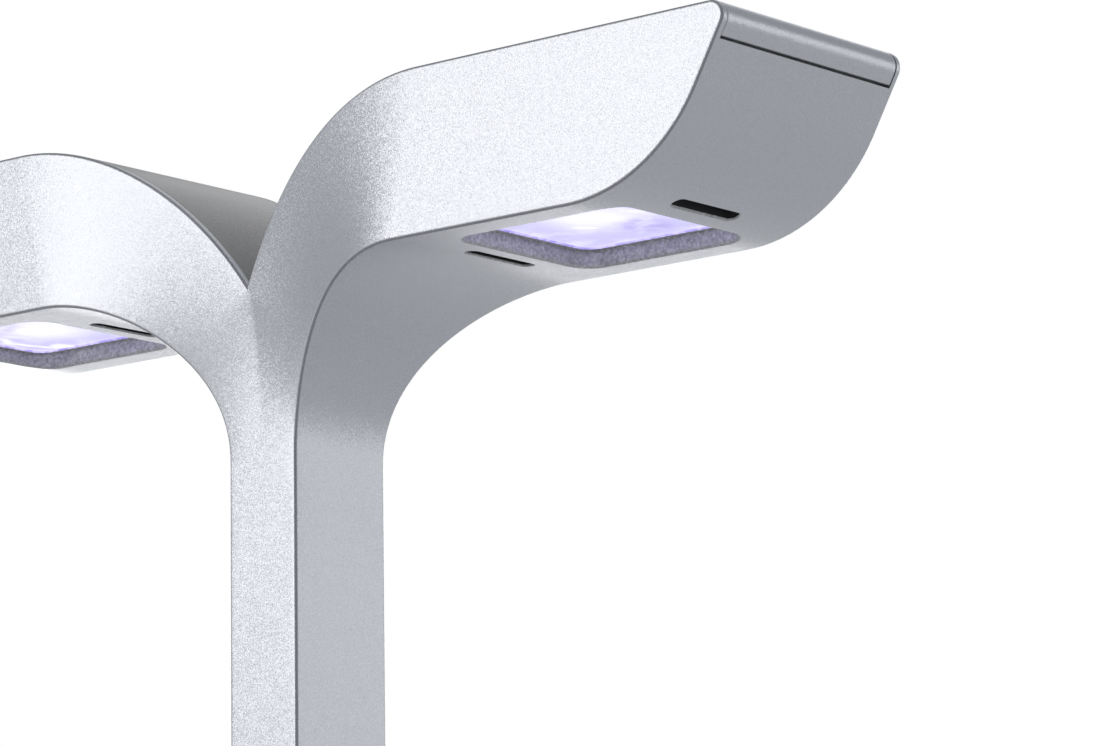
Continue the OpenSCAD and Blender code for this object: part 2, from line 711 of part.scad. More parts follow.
module fill_flap() color("#dfe2e3") difference() {
    union() {
        translate([flap_x, flap_y, deck_z + slide_gap]) plate(flap_l, flap_w, 4, flap_t);
        translate([flap_x, flap_axis_y - 2, deck_z + slide_gap + flap_t / 2])
            cube([flap_l - 2, 4, flap_t], center = true);
        translate([flap_x, flap_axis_y, flap_axis_z]) rotate([0, 90, 0])
            cylinder(flap_l - 1, flap_knuckle_r - 0.2, flap_knuckle_r - 0.2, center = true);
    }
    translate([flap_x, flap_axis_y, flap_axis_z]) rotate([0, 90, 0])
        cylinder(flap_l + 20, flap_pin_r + pin_gap, flap_pin_r + pin_gap, center = true);
    translate([flap_x, flap_y - flap_w / 2, deck_z + slide_gap - 1]) cylinder(flap_t + 2, 6, 6);
}
module flap_pin() color("#9a9da0") translate([flap_x, flap_axis_y, flap_axis_z]) rotate([0, 90, 0])
    cylinder(flap_l + 6.2, flap_pin_r, flap_pin_r, center = true);

// ---------------------------------------------------------------- pods

module cup_cone(inset, low) rotate_extrude() polygon([
    [0, low], [cup_foot_r - inset, low], [cup_r - inset, cup_depth],
    [cup_r - inset, cup_depth + cup_rim_t + 1], [0, cup_depth + cup_rim_t + 1]]);
module at_cup(n, z) translate([cup_places[n][0], cup_places[n][1], deck_z + 0.3 + z]) children();
module net_cup(n) color("#3a3d40") at_cup(n, -cup_depth)
    difference() {
        union() {
            intersection() {
                cup_cone(0, 0);
                cylinder(cup_depth + cup_rim_t, cup_rim_r, cup_rim_r);
            }
            translate([0, 0, cup_depth]) cylinder(cup_rim_t, cup_rim_r, cup_rim_r - 0.6);
        }
        cup_cone(cup_wall, cup_wall);
        for (i = [0:cup_slots - 1]) rotate([0, 0, 360 / cup_slots * (i + 0.5)])
            translate([cup_foot_r * 0.45, -cup_slot_w / 2, -1]) cube([cup_r, cup_slot_w, cup_depth * 0.62]);
    }
module growth_plug(n) color("#4a3524") at_cup(n, -cup_depth) rotate_extrude() polygon([
    [0, cup_wall + 0.3], [plug_foot_r - 1, cup_wall + 0.3], [plug_foot_r, cup_wall + 1.3],
    [plug_r - 0.6, cup_depth - 4], [plug_r - 2, cup_depth - 3], [seed_r + 1, cup_depth - 3],
    [seed_r, cup_depth - 4], [seed_r, cup_depth - seed_depth], [0, cup_depth - seed_depth]]);
module pod_cover(n) color("#f4f4f2") at_cup(n, 0) rotate_extrude() polygon([
    [stem_r, cup_rim_t], [cover_r, cup_rim_t], [cover_r, -2.4], [cover_r - cover_wall, -2.4],
    [cover_r - cover_wall, cup_rim_t - cover_wall], [stem_r + cover_wall, cup_rim_t - cover_wall],
    [stem_r + cover_wall, -1.2], [stem_r, -1.2]]);

// ---------------------------------------------------------------- water level float

module float_cage() color("#d8dbdd") translate([float_x, float_y, tank_floor]) {
    difference() {
        cylinder(cage_h + 2, cage_r + cage_wall, cage_r + cage_wall);
        translate([0, 0, 2]) cylinder(cage_h - 2, cage_r, cage_r);
        translate([0, 0, -1]) cylinder(cage_h + 5, rod_r + 0.4, rod_r + 0.4);
        for (a = [45, 135]) rotate([0, 0, a])
            translate([-cage_r - 3, -3.5, 2]) cube([2 * cage_r + 6, 7, cage_h - 5]);
    }
}
module level_float() color("#2f7fc4") translate([float_x, float_y, tank_floor + 3]) {
    rotate_extrude() polygon([[0, 0], [float_r - 1.5, 0], [float_r, 1.5], [float_r, float_h - 1.5],
        [float_r - 1.5, float_h], [0, float_h]]);
    rod_top = deck_z - tank_floor - 3 - 2;
    cylinder(rod_top, rod_r, rod_r);
    translate([0, 0, rod_top - EPS]) cylinder(3.2, float_tip_r, float_tip_r - 0.8);
}

// ---------------------------------------------------------------- pump

module at_pump(z = pump_z) translate([-pump_x, 0, z]) children();
module along_y(y) translate([0, y, 0]) rotate([-90, 0, 0]) children();
module pump_housing() color("#26282a") difference() {
    at_pump() plate(pump_l, pump_w, 5, pump_h);
    at_pump(pump_axis_z) along_y(-pump_w / 2 - 1) cylinder(8.5, impeller_r + 1.5, impeller_r + 1.5);
    at_pump(pump_axis_z) along_y(-pump_w / 2) cylinder(pump_w - 3.5, rotor_r + 0.5, rotor_r + 0.5);
    at_pump(pump_axis_z) along_y(-pump_w / 2) cylinder(pump_w - 1.5, shaft_r, shaft_r);
    at_pump(pump_axis_z) translate([impeller_r * 0.6, -pump_w / 2 + 4, 0])
        cylinder(pump_h, outlet_bore_r * 0.7, outlet_bore_r * 0.7);
    at_pump(pump_z + pump_h - 6) translate([impeller_r * 0.6, -pump_w / 2 + 6.6, 0])
        cylinder(10, outlet_bore_r + 1.6, outlet_bore_r + 1.6);
}
module pump_inlet_cover() color("#34373a") at_pump(pump_axis_z) difference() {
    along_y(-pump_w / 2 - 3.3) cylinder(3, impeller_r + 4, impeller_r + 4);
    for (i = [-3:3]) if (i != 0) translate([i * 2.8, -pump_w / 2, 0])
        cube([1.4, 12, 2 * impeller_r * (1 - abs(i) * 0.16)], center = true);
    along_y(-pump_w / 2 - 2.3) cylinder(4, shaft_r, shaft_r);
}
module pump_impeller() color("#5e6265") at_pump(pump_axis_z) difference() {
    union() {
        along_y(-pump_w / 2 + 4.6) cylinder(1.6, impeller_r, impeller_r);
        along_y(-pump_w / 2 + 6) cylinder(rotor_len, rotor_r, rotor_r);
        along_y(-pump_w / 2 + 0.6) cylinder(5, 2.6, 2.6);
        for (i = [0:vane_count - 1]) rotate([0, 360 / vane_count * i, 0])
            translate([2, -pump_w / 2 + 0.8, -0.6]) cube([impeller_r - 2.4, 4, 1.2]);
    }
    along_y(-pump_w / 2 - 1) cylinder(pump_w, shaft_r + pin_gap, shaft_r + pin_gap);
}
module pump_shaft() color("#e6e2d8") at_pump(pump_axis_z)
    along_y(-pump_w / 2 - 2.2) cylinder(pump_w + 0.6, shaft_r, shaft_r);
module pump_outlet_tube() color("#c9ced1") at_pump(pump_z + pump_h - 5.8)
    translate([impeller_r * 0.6, -pump_w / 2 + 6.6, 0]) difference() {
        h = deck_z - deck_t - 9 - (pump_z + pump_h - 5.8);
        union() {
            cylinder(h, outlet_bore_r + 1.5, outlet_bore_r + 1.5);
            for (z = [12:7:h - 2]) translate([0, 0, z])
                cylinder(1.4, outlet_bore_r + 2.2, outlet_bore_r + 1.6);
        }
        translate([0, 0, -1]) cylinder(h + 2, outlet_bore_r, outlet_bore_r);
    }
module pump_pads() color("#1f2021") at_places([for (x = [-1, 1], y = [-1, 1])
    [-pump_x + x * (pump_l / 2 - 6), y * (pump_w / 2 - 6)]], tank_floor)
    cylinder(pump_foot, 4.6, 3.4);

// ---------------------------------------------------------------- controls

module at_panel(x, y) translate([x, panel_y + y, panel_z]) children();
module button_bore(r, y, depth) rotate([-90, 0, 0]) translate([0, 0, y]) cylinder(depth, r, r);
module control_bezel() color("#3b3e41") {
    difference() {
        at_panel(0, panel_t / 2) upright_plate(panel_l, panel_h, panel_h / 2, panel_t);
        at_panel(0, -0.4) upright_plate(panel_l - 4, panel_h - 4, panel_h / 2 - 2, 1.6);
        for (x = [-1, 1]) at_panel(x * button_dx / 2, -2) button_bore(button_r + slide_gap, 0, 10);
        for (x = light_places) at_panel(x, -2) button_bore(light_r + 0.1, 0, 10);
    }
    for (x = [-1, 1]) at_panel(x * standoff_x, panel_t - EPS)
        button_bore(2.4, 0, board_y - panel_y - panel_t);
    for (x = [-1, 1], turn = [0, 180]) at_panel(x * clip_x, 0) rotate([0, turn, 0]) {
        translate([-3, panel_t - EPS, panel_h / 2 - 2.8]) cube([6, 4.6, 1.6]);
        translate([-3, panel_t + 2.8, panel_h / 2 - 2.8]) cube([6, 1.8, 4.2]);
    }
}
module push_button(side) at_panel(side * button_dx / 2, 0) {
    flange_y = panel_t + slide_gap;
    button_bore(button_r, -1.2, flange_y + 1.3);
    button_bore(button_r + button_flange, flange_y, button_flange_t);
    button_bore(2, flange_y + button_flange_t - EPS, button_stem);
}
module light_button() color("#d9dcde") push_button(-1);
module pump_button() color("#d9dcde") push_button(1);
module status_lights() color("#9fe0a8") for (x = light_places) at_panel(x, 0)
    button_bore(light_r, 0.3, board_y - panel_y - 0.6);
module control_board() color("#1f5d3a") {
    translate([0, board_y + board_t / 2, panel_z]) upright_plate(panel_l - 6, panel_h - 4, 2, board_t);
    for (x = [-1, 1]) translate([x * button_dx / 2, board_y, panel_z]) {
        translate([0, -switch_h / 2, 0]) cube([6, switch_h, 6], center = true);
        button_bore(1.7, -switch_h - plunger_h, 1);
    }
}

module at_inlet(y) translate([inlet_x, inlet_y + y, inlet_z]) rotate([-90, 0, 0]) children();
module power_inlet() color("#232527") difference() {
    union() {
        at_inlet(-13) cylinder(13, inlet_r, inlet_r);
        at_inlet(-inlet_out - wall - 3.4) cylinder(2.4, inlet_r + 3, inlet_r + 3, $fn = 6);
        at_inlet(-0.6) cylinder(1.2, inlet_r + inlet_flange, inlet_r + inlet_flange - 0.6);
    }
    at_inlet(-jack_depth) cylinder(jack_depth + 2, jack_r, jack_r);
}

// ---------------------------------------------------------------- output

housing_wall(-1);  // housing_front
housing_wall(1);  // housing_rear
housing_end(1);  // housing_end_right
housing_end(-1);  // housing_end_left
bottom_plate();
rubber_feet();
base_screws();
water_tank();
planting_deck();
net_cup(0);  // net_cup_1
net_cup(1);  // net_cup_2
net_cup(2);  // net_cup_3
net_cup(3);  // net_cup_4
net_cup(4);  // net_cup_5
net_cup(5);  // net_cup_6
growth_plug(0);  // growth_plug_1
growth_plug(1);  // growth_plug_2
growth_plug(2);  // growth_plug_3
growth_plug(3);  // growth_plug_4
growth_plug(4);  // growth_plug_5
growth_plug(5);  // growth_plug_6
pod_cover(0);  // pod_cover_1
pod_cover(1);  // pod_cover_2
pod_cover(2);  // pod_cover_3
pod_cover(3);  // pod_cover_4
pod_cover(4);  // pod_cover_5
pod_cover(5);  // pod_cover_6
fill_flap();
flap_pin();
float_cage();
level_float();
pump_housing();
pump_inlet_cover();
pump_impeller();
pump_shaft();
pump_outlet_tube();
pump_pads();
control_bezel();
light_button();
pump_button();
status_lights();
control_board();
power_inlet();
post_guide();
lamp_body();
lamp_lead();
post_foot();
top_cover(1);  // top_cover_right
top_cover(-1);  // top_cover_left
lens(1);  // lens_right
lens(-1);  // lens_left
light_chamber(1);  // light_chamber_right
light_chamber(-1);  // light_chamber_left
led_board(1);  // led_board_right
led_board(-1);  // led_board_left
led_chips(1);  // led_chips_right
led_chips(-1);  // led_chips_left
heat_sink(1);  // heat_sink_right
heat_sink(-1);  // heat_sink_left
heat_sink_screws();
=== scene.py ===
"""Dresses a countertop hydroponic garden: a two-armed grow lamp over a water base with six pods."""

from __future__ import annotations

import json
import logging
import math
from contextlib import contextmanager
from dataclasses import dataclass, field
from enum import Enum
from typing import Callable, Iterable, Iterator, Sequence

import bmesh
import bpy
from mathutils import Matrix, Vector, noise

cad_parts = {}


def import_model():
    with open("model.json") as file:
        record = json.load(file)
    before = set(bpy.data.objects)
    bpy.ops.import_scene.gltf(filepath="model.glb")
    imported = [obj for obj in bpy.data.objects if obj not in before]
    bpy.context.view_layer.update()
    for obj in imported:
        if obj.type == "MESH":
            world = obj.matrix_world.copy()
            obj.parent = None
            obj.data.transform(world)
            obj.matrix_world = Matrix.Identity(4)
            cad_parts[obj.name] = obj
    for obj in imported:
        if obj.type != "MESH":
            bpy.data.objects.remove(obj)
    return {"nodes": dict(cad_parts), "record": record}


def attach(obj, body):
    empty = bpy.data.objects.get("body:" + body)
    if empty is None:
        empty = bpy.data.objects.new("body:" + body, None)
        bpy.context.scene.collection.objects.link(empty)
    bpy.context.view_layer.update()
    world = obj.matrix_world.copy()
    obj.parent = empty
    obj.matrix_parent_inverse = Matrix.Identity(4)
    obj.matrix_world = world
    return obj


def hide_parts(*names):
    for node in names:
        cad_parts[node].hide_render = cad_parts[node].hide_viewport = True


LOG = logging.getLogger("garden")
MM = 0.001
Rgb = tuple[float, float, float]
Xyz = tuple[float, float, float]
Point = tuple[float, float]
Socket = bpy.types.NodeSocket
Solid = tuple[list, list]

# Distances in metres under which points are one point, and edges are dropped.
WELD_NEW = 2e-6
WELD_CUT = 4e-6
WELD_CAD = 5e-6
SLIVER = 1e-6
# Sides of the widest hole that is filled, degrees within which faces are one, and how much
# large faces count in the shading.
GAP_SIDES = 8
FLAT_WITHIN = math.radians(0.4)
FACE_WEIGHT = 60
QUARTER = math.pi / 2


class Side(Enum):
    """The two arms of the lamp, with the sign of their direction along X."""

    RIGHT = 1
    LEFT = -1

    @property
    def label(self) -> str:
        """The word that ends the side's node names."""
        return self.name.lower()


class Grain(Enum):
    """How the surface of a moulding is finished in its tool: features a metre, and depth."""

    SATIN = (2600.0, 0.05)
    MATT = (1700.0, 0.10)
    COARSE = (1000.0, 0.20)

    @property
    def scale(self) -> float:
        """Features of the grain a metre."""
        return self.value[0]

    @property
    def depth(self) -> float:
        """Strength of the grain's relief."""
        return self.value[1]


# ---------------------------------------------------------------- shader node helpers


class Nodes:
    """A node tree that is filled with short calls."""

    MIX_FACTOR, MIX_LOW, MIX_HIGH, MIX_RESULT = 0, 6, 7, 2

    def __init__(self, tree: bpy.types.NodeTree) -> None:
        """Takes over a tree.

        Args:
            tree: the material's or group's node tree.
        """
        self.tree = tree

    def feed(self, node: bpy.types.Node, inputs: dict) -> None:
        """Sets a node's inputs, or links those that are given an output socket.

        Args:
            node: the node.
            inputs: socket name or index to a value or to an output socket.
        """
        for key, value in inputs.items():
            if isinstance(value, Socket):
                self.tree.links.new(value, node.inputs[key])
            else:
                node.inputs[key].default_value = value

    def add(self, kind: str, inputs: dict | None = None, **props: object) -> bpy.types.Node:
        """Adds a node, sets its properties, and sets or links its inputs.

        Args:
            kind: the node's type name.
            inputs: socket name or index to a value, or to an output socket to link.
            props: attributes of the node.

        Returns:
            The new node.
        """
        node = self.tree.nodes.new(kind)
        for key, value in props.items():
            setattr(node, key, value)
        self.feed(node, inputs or {})
        return node

    def place(self) -> Socket:
        """The object's own coordinates."""
        return self.add("ShaderNodeTexCoord").outputs["Object"]

    def math(self, operation: str, *values: object, clamp: bool = False) -> Socket:
        """Adds a Math node.

        Args:
            operation: the node's operation.
            values: its inputs in order.
            clamp: whether the result is kept between 0 and 1.

        Returns:
            The node's output.
        """
        node = self.add("ShaderNodeMath", dict(enumerate(values)), operation=operation,
                        use_clamp=clamp)
        return node.outputs[0]

    def times(self, one: object, other: object) -> Socket:
        """The product of two values."""
        return self.math("MULTIPLY", one, other)

    def rest(self, value: object) -> Socket:
        """What is left of 1 after a value."""
        return self.math("SUBTRACT", 1.0, value)

    def vector(self, operation: str, *values: object, output: str = "Vector") -> Socket:
        """Adds a Vector Math node.

        Args:
            operation: the node's operation.
            values: its inputs in order.
            output: the output wanted.

        Returns:
            That output.
        """
        node = self.add("ShaderNodeVectorMath", dict(enumerate(values)), operation=operation)
        return node.outputs[output]

    def mix(self, factor: object, low: object, high: object) -> Socket:
        """Mixes two colours.

        Args:
            factor: how much of the second colour.
            low: the first colour.
            high: the second colour.

        Returns:
            The mixed colour.
        """
        low, high = (c if isinstance(c, Socket) else (*c, 1.0) for c in (low, high))
        node = self.add("ShaderNodeMix", {self.MIX_FACTOR: factor, self.MIX_LOW: low,
                                          self.MIX_HIGH: high}, data_type="RGBA")
        return node.outputs[self.MIX_RESULT]

    def ramp(self, value: Socket, low: float, high: float) -> Socket:
        """Maps a value so that low becomes 0 and high becomes 1, smoothly.

        Args:
            value: the value to map.
            low: where the result is 0.
            high: where the result is 1.

        Returns:
            The mapped value.
        """
        node = self.add("ShaderNodeMapRange", {"Value": value, "From Min": low, "From Max": high},
                        interpolation_type="SMOOTHSTEP")
        return node.outputs[0]

    def noise(self, place: Socket, scale: object, detail: float = 2.0) -> Socket:
        """Adds a Noise texture.

        Args:
            place: the coordinates.
            scale: features a metre.
            detail: octaves.

        Returns:
            The noise value.
        """
        inputs = {"Vector": place, "Scale": scale, "Detail": detail}
        return self.add("ShaderNodeTexNoise", inputs).outputs[0]

    def bump(self, strength: float, distance: float, height: Socket,
             normal: Socket | None = None) -> Socket:
        """Adds a Bump node.

        Args:
            strength: how much of the relief shows.
            distance: the relief's depth in metres.
            height: the relief.
            normal: the normal that it bends, or None for the surface's own.

        Returns:
            The bent normal.
        """
        inputs = {"Strength": strength, "Distance": distance, "Height": height}
        if normal is not None:
            inputs["Normal"] = normal
        return self.add("ShaderNodeBump", inputs).outputs[0]


def new_group(name: str, inputs: Sequence[tuple[str, float]],
              outputs: Sequence[str]) -> tuple[bpy.types.NodeTree, Nodes, dict, bpy.types.Node]:
    """Makes an empty shader group with float sockets.

    Args:
        name: the group's name.
        inputs: names and default values of its inputs.
        outputs: names of its outputs.

    Returns:
        The group, its nodes helper, its input sockets by name, and its output node.
    """
    tree = bpy.data.node_groups.new(name, "ShaderNodeTree")
    for label, value in inputs:
        socket = tree.interface.new_socket(label, in_out="INPUT", socket_type="NodeSocketFloat")
        socket.default_value = value
    for label in outputs:
        tree.interface.new_socket(label, in_out="OUTPUT", socket_type="NodeSocketFloat")
    nodes = Nodes(tree)
    given = nodes.add("NodeGroupInput")
    result = nodes.add("NodeGroupOutput")
    return tree, nodes, {label: given.outputs[label] for label, _ in inputs}, result


class Effects:
    """The shader groups that several finishes share."""

    def __init__(self) -> None:
        """Builds each group once."""
        self.flakes = self._flakes()
        self.grain = self._grain()
        self.handling = self._handling()

    @staticmethod
    def _flakes() -> bpy.types.NodeTree:
        """Metal flakes in paint: a bright mask, the clear layer's height, and a tilted normal.

        Returns:
            The group.
        """
        tree, n, given, result = new_group(
            "metal_flakes", [("Scale", 1900.0), ("Contrast", 1.0), ("Tilt", 0.3)],
            ["Flake", "Height"])
        tree.interface.new_socket("Normal", in_out="OUTPUT", socket_type="NodeSocketVector")
        place = n.place()
        voronoi = n.add("ShaderNodeTexVoronoi", {"Vector": place, "Scale": given["Scale"]})
        cells = voronoi.outputs["Color"]
        spark = n.add("ShaderNodeSeparateColor", {0: cells}).outputs[0]
        soft = n.ramp(n.noise(place, n.times(given["Scale"], 0.7), 3.0), 0.25, 0.75)
        both = n.math("ADD", n.times(spark, 0.4), n.times(soft, 0.6))
        centred = n.times(n.math("SUBTRACT", both, 0.5), given["Contrast"])
        peel = n.noise(place, n.times(given["Scale"], 0.6), 2.0)
        lean = n.add("ShaderNodeVectorMath", {0: n.vector("SUBTRACT", cells, (0.5, 0.5, 0.5)),
                                              "Scale": given["Tilt"]}, operation="SCALE")
        normal = n.vector("ADD", n.add("ShaderNodeNewGeometry").outputs["Normal"], lean.outputs[0])
        n.feed(result, {"Flake": n.math("ADD", centred, 0.5, clamp=True), "Height": peel,
                        "Normal": n.vector("NORMALIZE", normal)})
        return tree

    @staticmethod
    def _grain() -> bpy.types.NodeTree:
        """Spark-eroded grain of a moulding: its height, and a slow change of gloss.

        Returns:
            The group.
        """
        tree, n, given, result = new_group("moulded_grain", [("Scale", 1700.0)],
                                           ["Height", "Gloss"])
        place = n.place()
        fine = n.noise(place, given["Scale"], 3.0)
        cells = n.add("ShaderNodeTexVoronoi", {"Vector": place,
                                               "Scale": n.times(given["Scale"], 0.7)})
        height = n.math("ADD", n.times(fine, 0.6), n.times(cells.outputs["Distance"], 0.4))
        n.feed(result, {"Height": height, "Gloss": n.ramp(n.noise(place, 28.0, 3.0), 0.3, 0.7)})
        return tree

    @staticmethod
    def _handling() -> bpy.types.NodeTree:
        """Light marks of use: broad smears and a little dust that lies on level surfaces.

        Returns:
            The group.
        """
        tree, n, _, result = new_group("handling", [], ["Smear", "Dust"])
        place = n.place()
        normal = n.add("ShaderNodeNewGeometry").outputs["Normal"]
        up = n.add("ShaderNodeSeparateXYZ", {0: normal}).outputs[2]
        dust = n.times(n.ramp(up, 0.6, 1.0), n.ramp(n.noise(place, 420.0, 4.0), 0.5, 0.8))
        n.feed(result, {"Smear": n.ramp(n.noise(place, 14.0, 4.0), 0.52, 0.75), "Dust": dust})
        return tree

    @staticmethod
    def place(nodes: Nodes, tree: bpy.types.NodeTree,
              inputs: dict | None = None) -> bpy.types.NodeOutputs:
        """Places one of the groups in a material.

        Args:
            nodes: the material's nodes.
            tree: the group.
            inputs: values of its inputs.

        Returns:
            The placed group's outputs by name.
        """
        return nodes.add("ShaderNodeGroup", inputs, node_tree=tree).outputs


def new_material(name: str) -> tuple[bpy.types.Material, Nodes, bpy.types.Node]:
    """Makes a material with one Principled shader.

    Args:
        name: the material's name.

    Returns:
        The material, its nodes helper and the shader.
    """
    material = bpy.data.materials.new(name)
    material.use_nodes = True
    nodes = Nodes(material.node_tree)
    return material, nodes, material.node_tree.nodes["Principled BSDF"]


# ---------------------------------------------------------------- finishes


@dataclass(frozen=True)
class Moulding:
    """A moulded plastic: its colour, gloss and grain."""

    name: str
    colour: Rgb
    roughness: float = 0.45
    grain: Grain = Grain.SATIN
    alpha: float = 1.0
    transmission: float = 0.0
    coat: float = 0.0

    TONE = 0.94
    DUST_AMOUNT = 0.10
    DUST_SHARE, DUST_GREY = 0.85, 0.12
    GLOSS_SWING, SMEAR_SWING = 0.06, 0.05
    RELIEF = 0.0003

    def build(self, effects: Effects) -> bpy.types.Material:
        """Makes the material.

        Args:
            effects: the shared shader groups.

        Returns:
            The material.
        """
        material, n, shader = new_material(self.name)
        grain = effects.place(n, effects.grain, {"Scale": self.grain.scale})
        use = effects.place(n, effects.handling)
        dusty = tuple(min(1.0, c * self.DUST_SHARE + self.DUST_GREY) for c in self.colour)
        toned = n.mix(grain["Gloss"], self.colour, tuple(c * self.TONE for c in self.colour))
        rough = n.math("ADD", self.roughness, n.times(grain["Gloss"], self.GLOSS_SWING))
        n.feed(shader, {
            "Base Color": n.mix(n.times(use["Dust"], self.DUST_AMOUNT), toned, dusty),
            "Roughness": n.math("SUBTRACT", rough, n.times(use["Smear"], self.SMEAR_SWING)),
            "Normal": n.bump(self.grain.depth, self.RELIEF, grain["Height"]),
            "Alpha": self.alpha, "Transmission Weight": self.transmission,
            "Coat Weight": self.coat})
        return material


@dataclass(frozen=True)
class FlakePaint:
    """Silver paint with fine metal flakes."""

    name: str
    dark: Rgb
    light: Rgb
    metallic: float
    roughness: float
    contrast: float = 1.0
    scale: float = 2600.0
    tilt: float = 0.3

    GLOSS_SWING, SMEAR_SWING = 0.10, 0.03
    PEEL, RELIEF = 0.10, 0.0003

    def build(self, effects: Effects) -> bpy.types.Material:
        """Makes the material.

        Args:
            effects: the shared shader groups.

        Returns:
            The material.
        """
        material, n, shader = new_material(self.name)
        flakes = effects.place(n, effects.flakes, {"Scale": self.scale, "Contrast": self.contrast,
                                                   "Tilt": self.tilt})
        use = effects.place(n, effects.handling)
        rough = n.math("SUBTRACT", self.roughness + self.GLOSS_SWING / 2,
                       n.times(flakes["Flake"], self.GLOSS_SWING))
        n.feed(shader, {
            "Base Color": n.mix(flakes["Flake"], self.dark, self.light),
            "Roughness": n.math("ADD", rough, n.times(use["Smear"], self.SMEAR_SWING)),
            "Normal": n.bump(self.PEEL, self.RELIEF, flakes["Height"], flakes["Normal"]),
            "Metallic": self.metallic})
        return material


@dataclass(frozen=True)
class Metal:
    """Plain metal with fine drawing or machining lines along one axis."""

    name: str
    colour: Rgb
    roughness: float = 0.3
    stretch: Xyz = (1.0, 1.0, 0.05)

    LINES = 2400.0
    TONE = 0.85
    GLOSS_SWING, SMEAR_SWING = 0.15, 0.05
    DEPTH, RELIEF = 0.06, 0.0002

    def build(self, effects: Effects) -> bpy.types.Material:
        """Makes the material.

        Args:
            effects: the shared shader groups.

        Returns:
            The material.
        """
        material, n, shader = new_material(self.name)
        drawn = n.add("ShaderNodeMapping", {"Vector": n.place(), "Scale": self.stretch})
        lines = n.noise(drawn.outputs[0], self.LINES, 3.0)
        use = effects.place(n, effects.handling)
        rough = n.math("ADD", self.roughness, n.times(lines, self.GLOSS_SWING))
        n.feed(shader, {
            "Base Color": n.mix(lines, self.colour, tuple(c * self.TONE for c in self.colour)),
            "Roughness": n.math("ADD", rough, n.times(use["Smear"], self.SMEAR_SWING)),
            "Normal": n.bump(self.DEPTH, self.RELIEF, lines), "Metallic": 1.0})
        return material


@dataclass(frozen=True)
class Fibre:
    """Compressed fibre of the growth plugs."""

    name: str
    dark: Rgb
    light: Rgb

    STRANDS, CRUMBS = 900.0, 620.0
    DEPTH, RELIEF = 0.6, 0.0008

    def build(self, effects: Effects) -> bpy.types.Material:
        """Makes the material.

        Args:
            effects: the shared shader groups.

        Returns:
            The material.
        """
        material, n, shader = new_material(self.name)
        place = n.place()
        strands = n.add("ShaderNodeTexNoise", {"Vector": place, "Scale": self.STRANDS,
                                               "Detail": 6.0, "Distortion": 2.5}).outputs[0]
        crumbs = n.add("ShaderNodeTexVoronoi", {"Vector": place, "Scale": self.CRUMBS})
        height = n.math("ADD", n.times(strands, 0.7), n.times(crumbs.outputs["Distance"], 0.5))
        n.feed(shader, {
            "Base Color": n.mix(n.ramp(strands, 0.35, 0.68), self.dark, self.light),
            "Normal": n.bump(self.DEPTH, self.RELIEF, height), "Roughness": 0.95})
        return material


@dataclass(frozen=True)
class Glow:
    """Clear plastic painted with its own glow in two tones, standing in for lamp light caught in
    it.
    """

    name: str
    low: Rgb
    high: Rgb

    def build(self, effects: Effects) -> bpy.types.Material:
        """Makes the material.

        Args:
            effects: the shared shader groups.

        Returns:
            The material.
        """
        material, n, shader = new_material(self.name)
        tone = n.ramp(n.noise(n.place(), 260.0, 2.0), 0.35, 0.65)
        grain = effects.place(n, effects.grain, {"Scale": Grain.SATIN.scale})
        n.feed(shader, {
            "Emission Color": n.mix(tone, self.low, self.high), "Emission Strength": 1.0,
            "Roughness": n.math("ADD", 0.2, n.times(grain["Gloss"], 0.1)),
            "Base Color": (0.2, 0.2, 0.3, 1.0)})
        return material


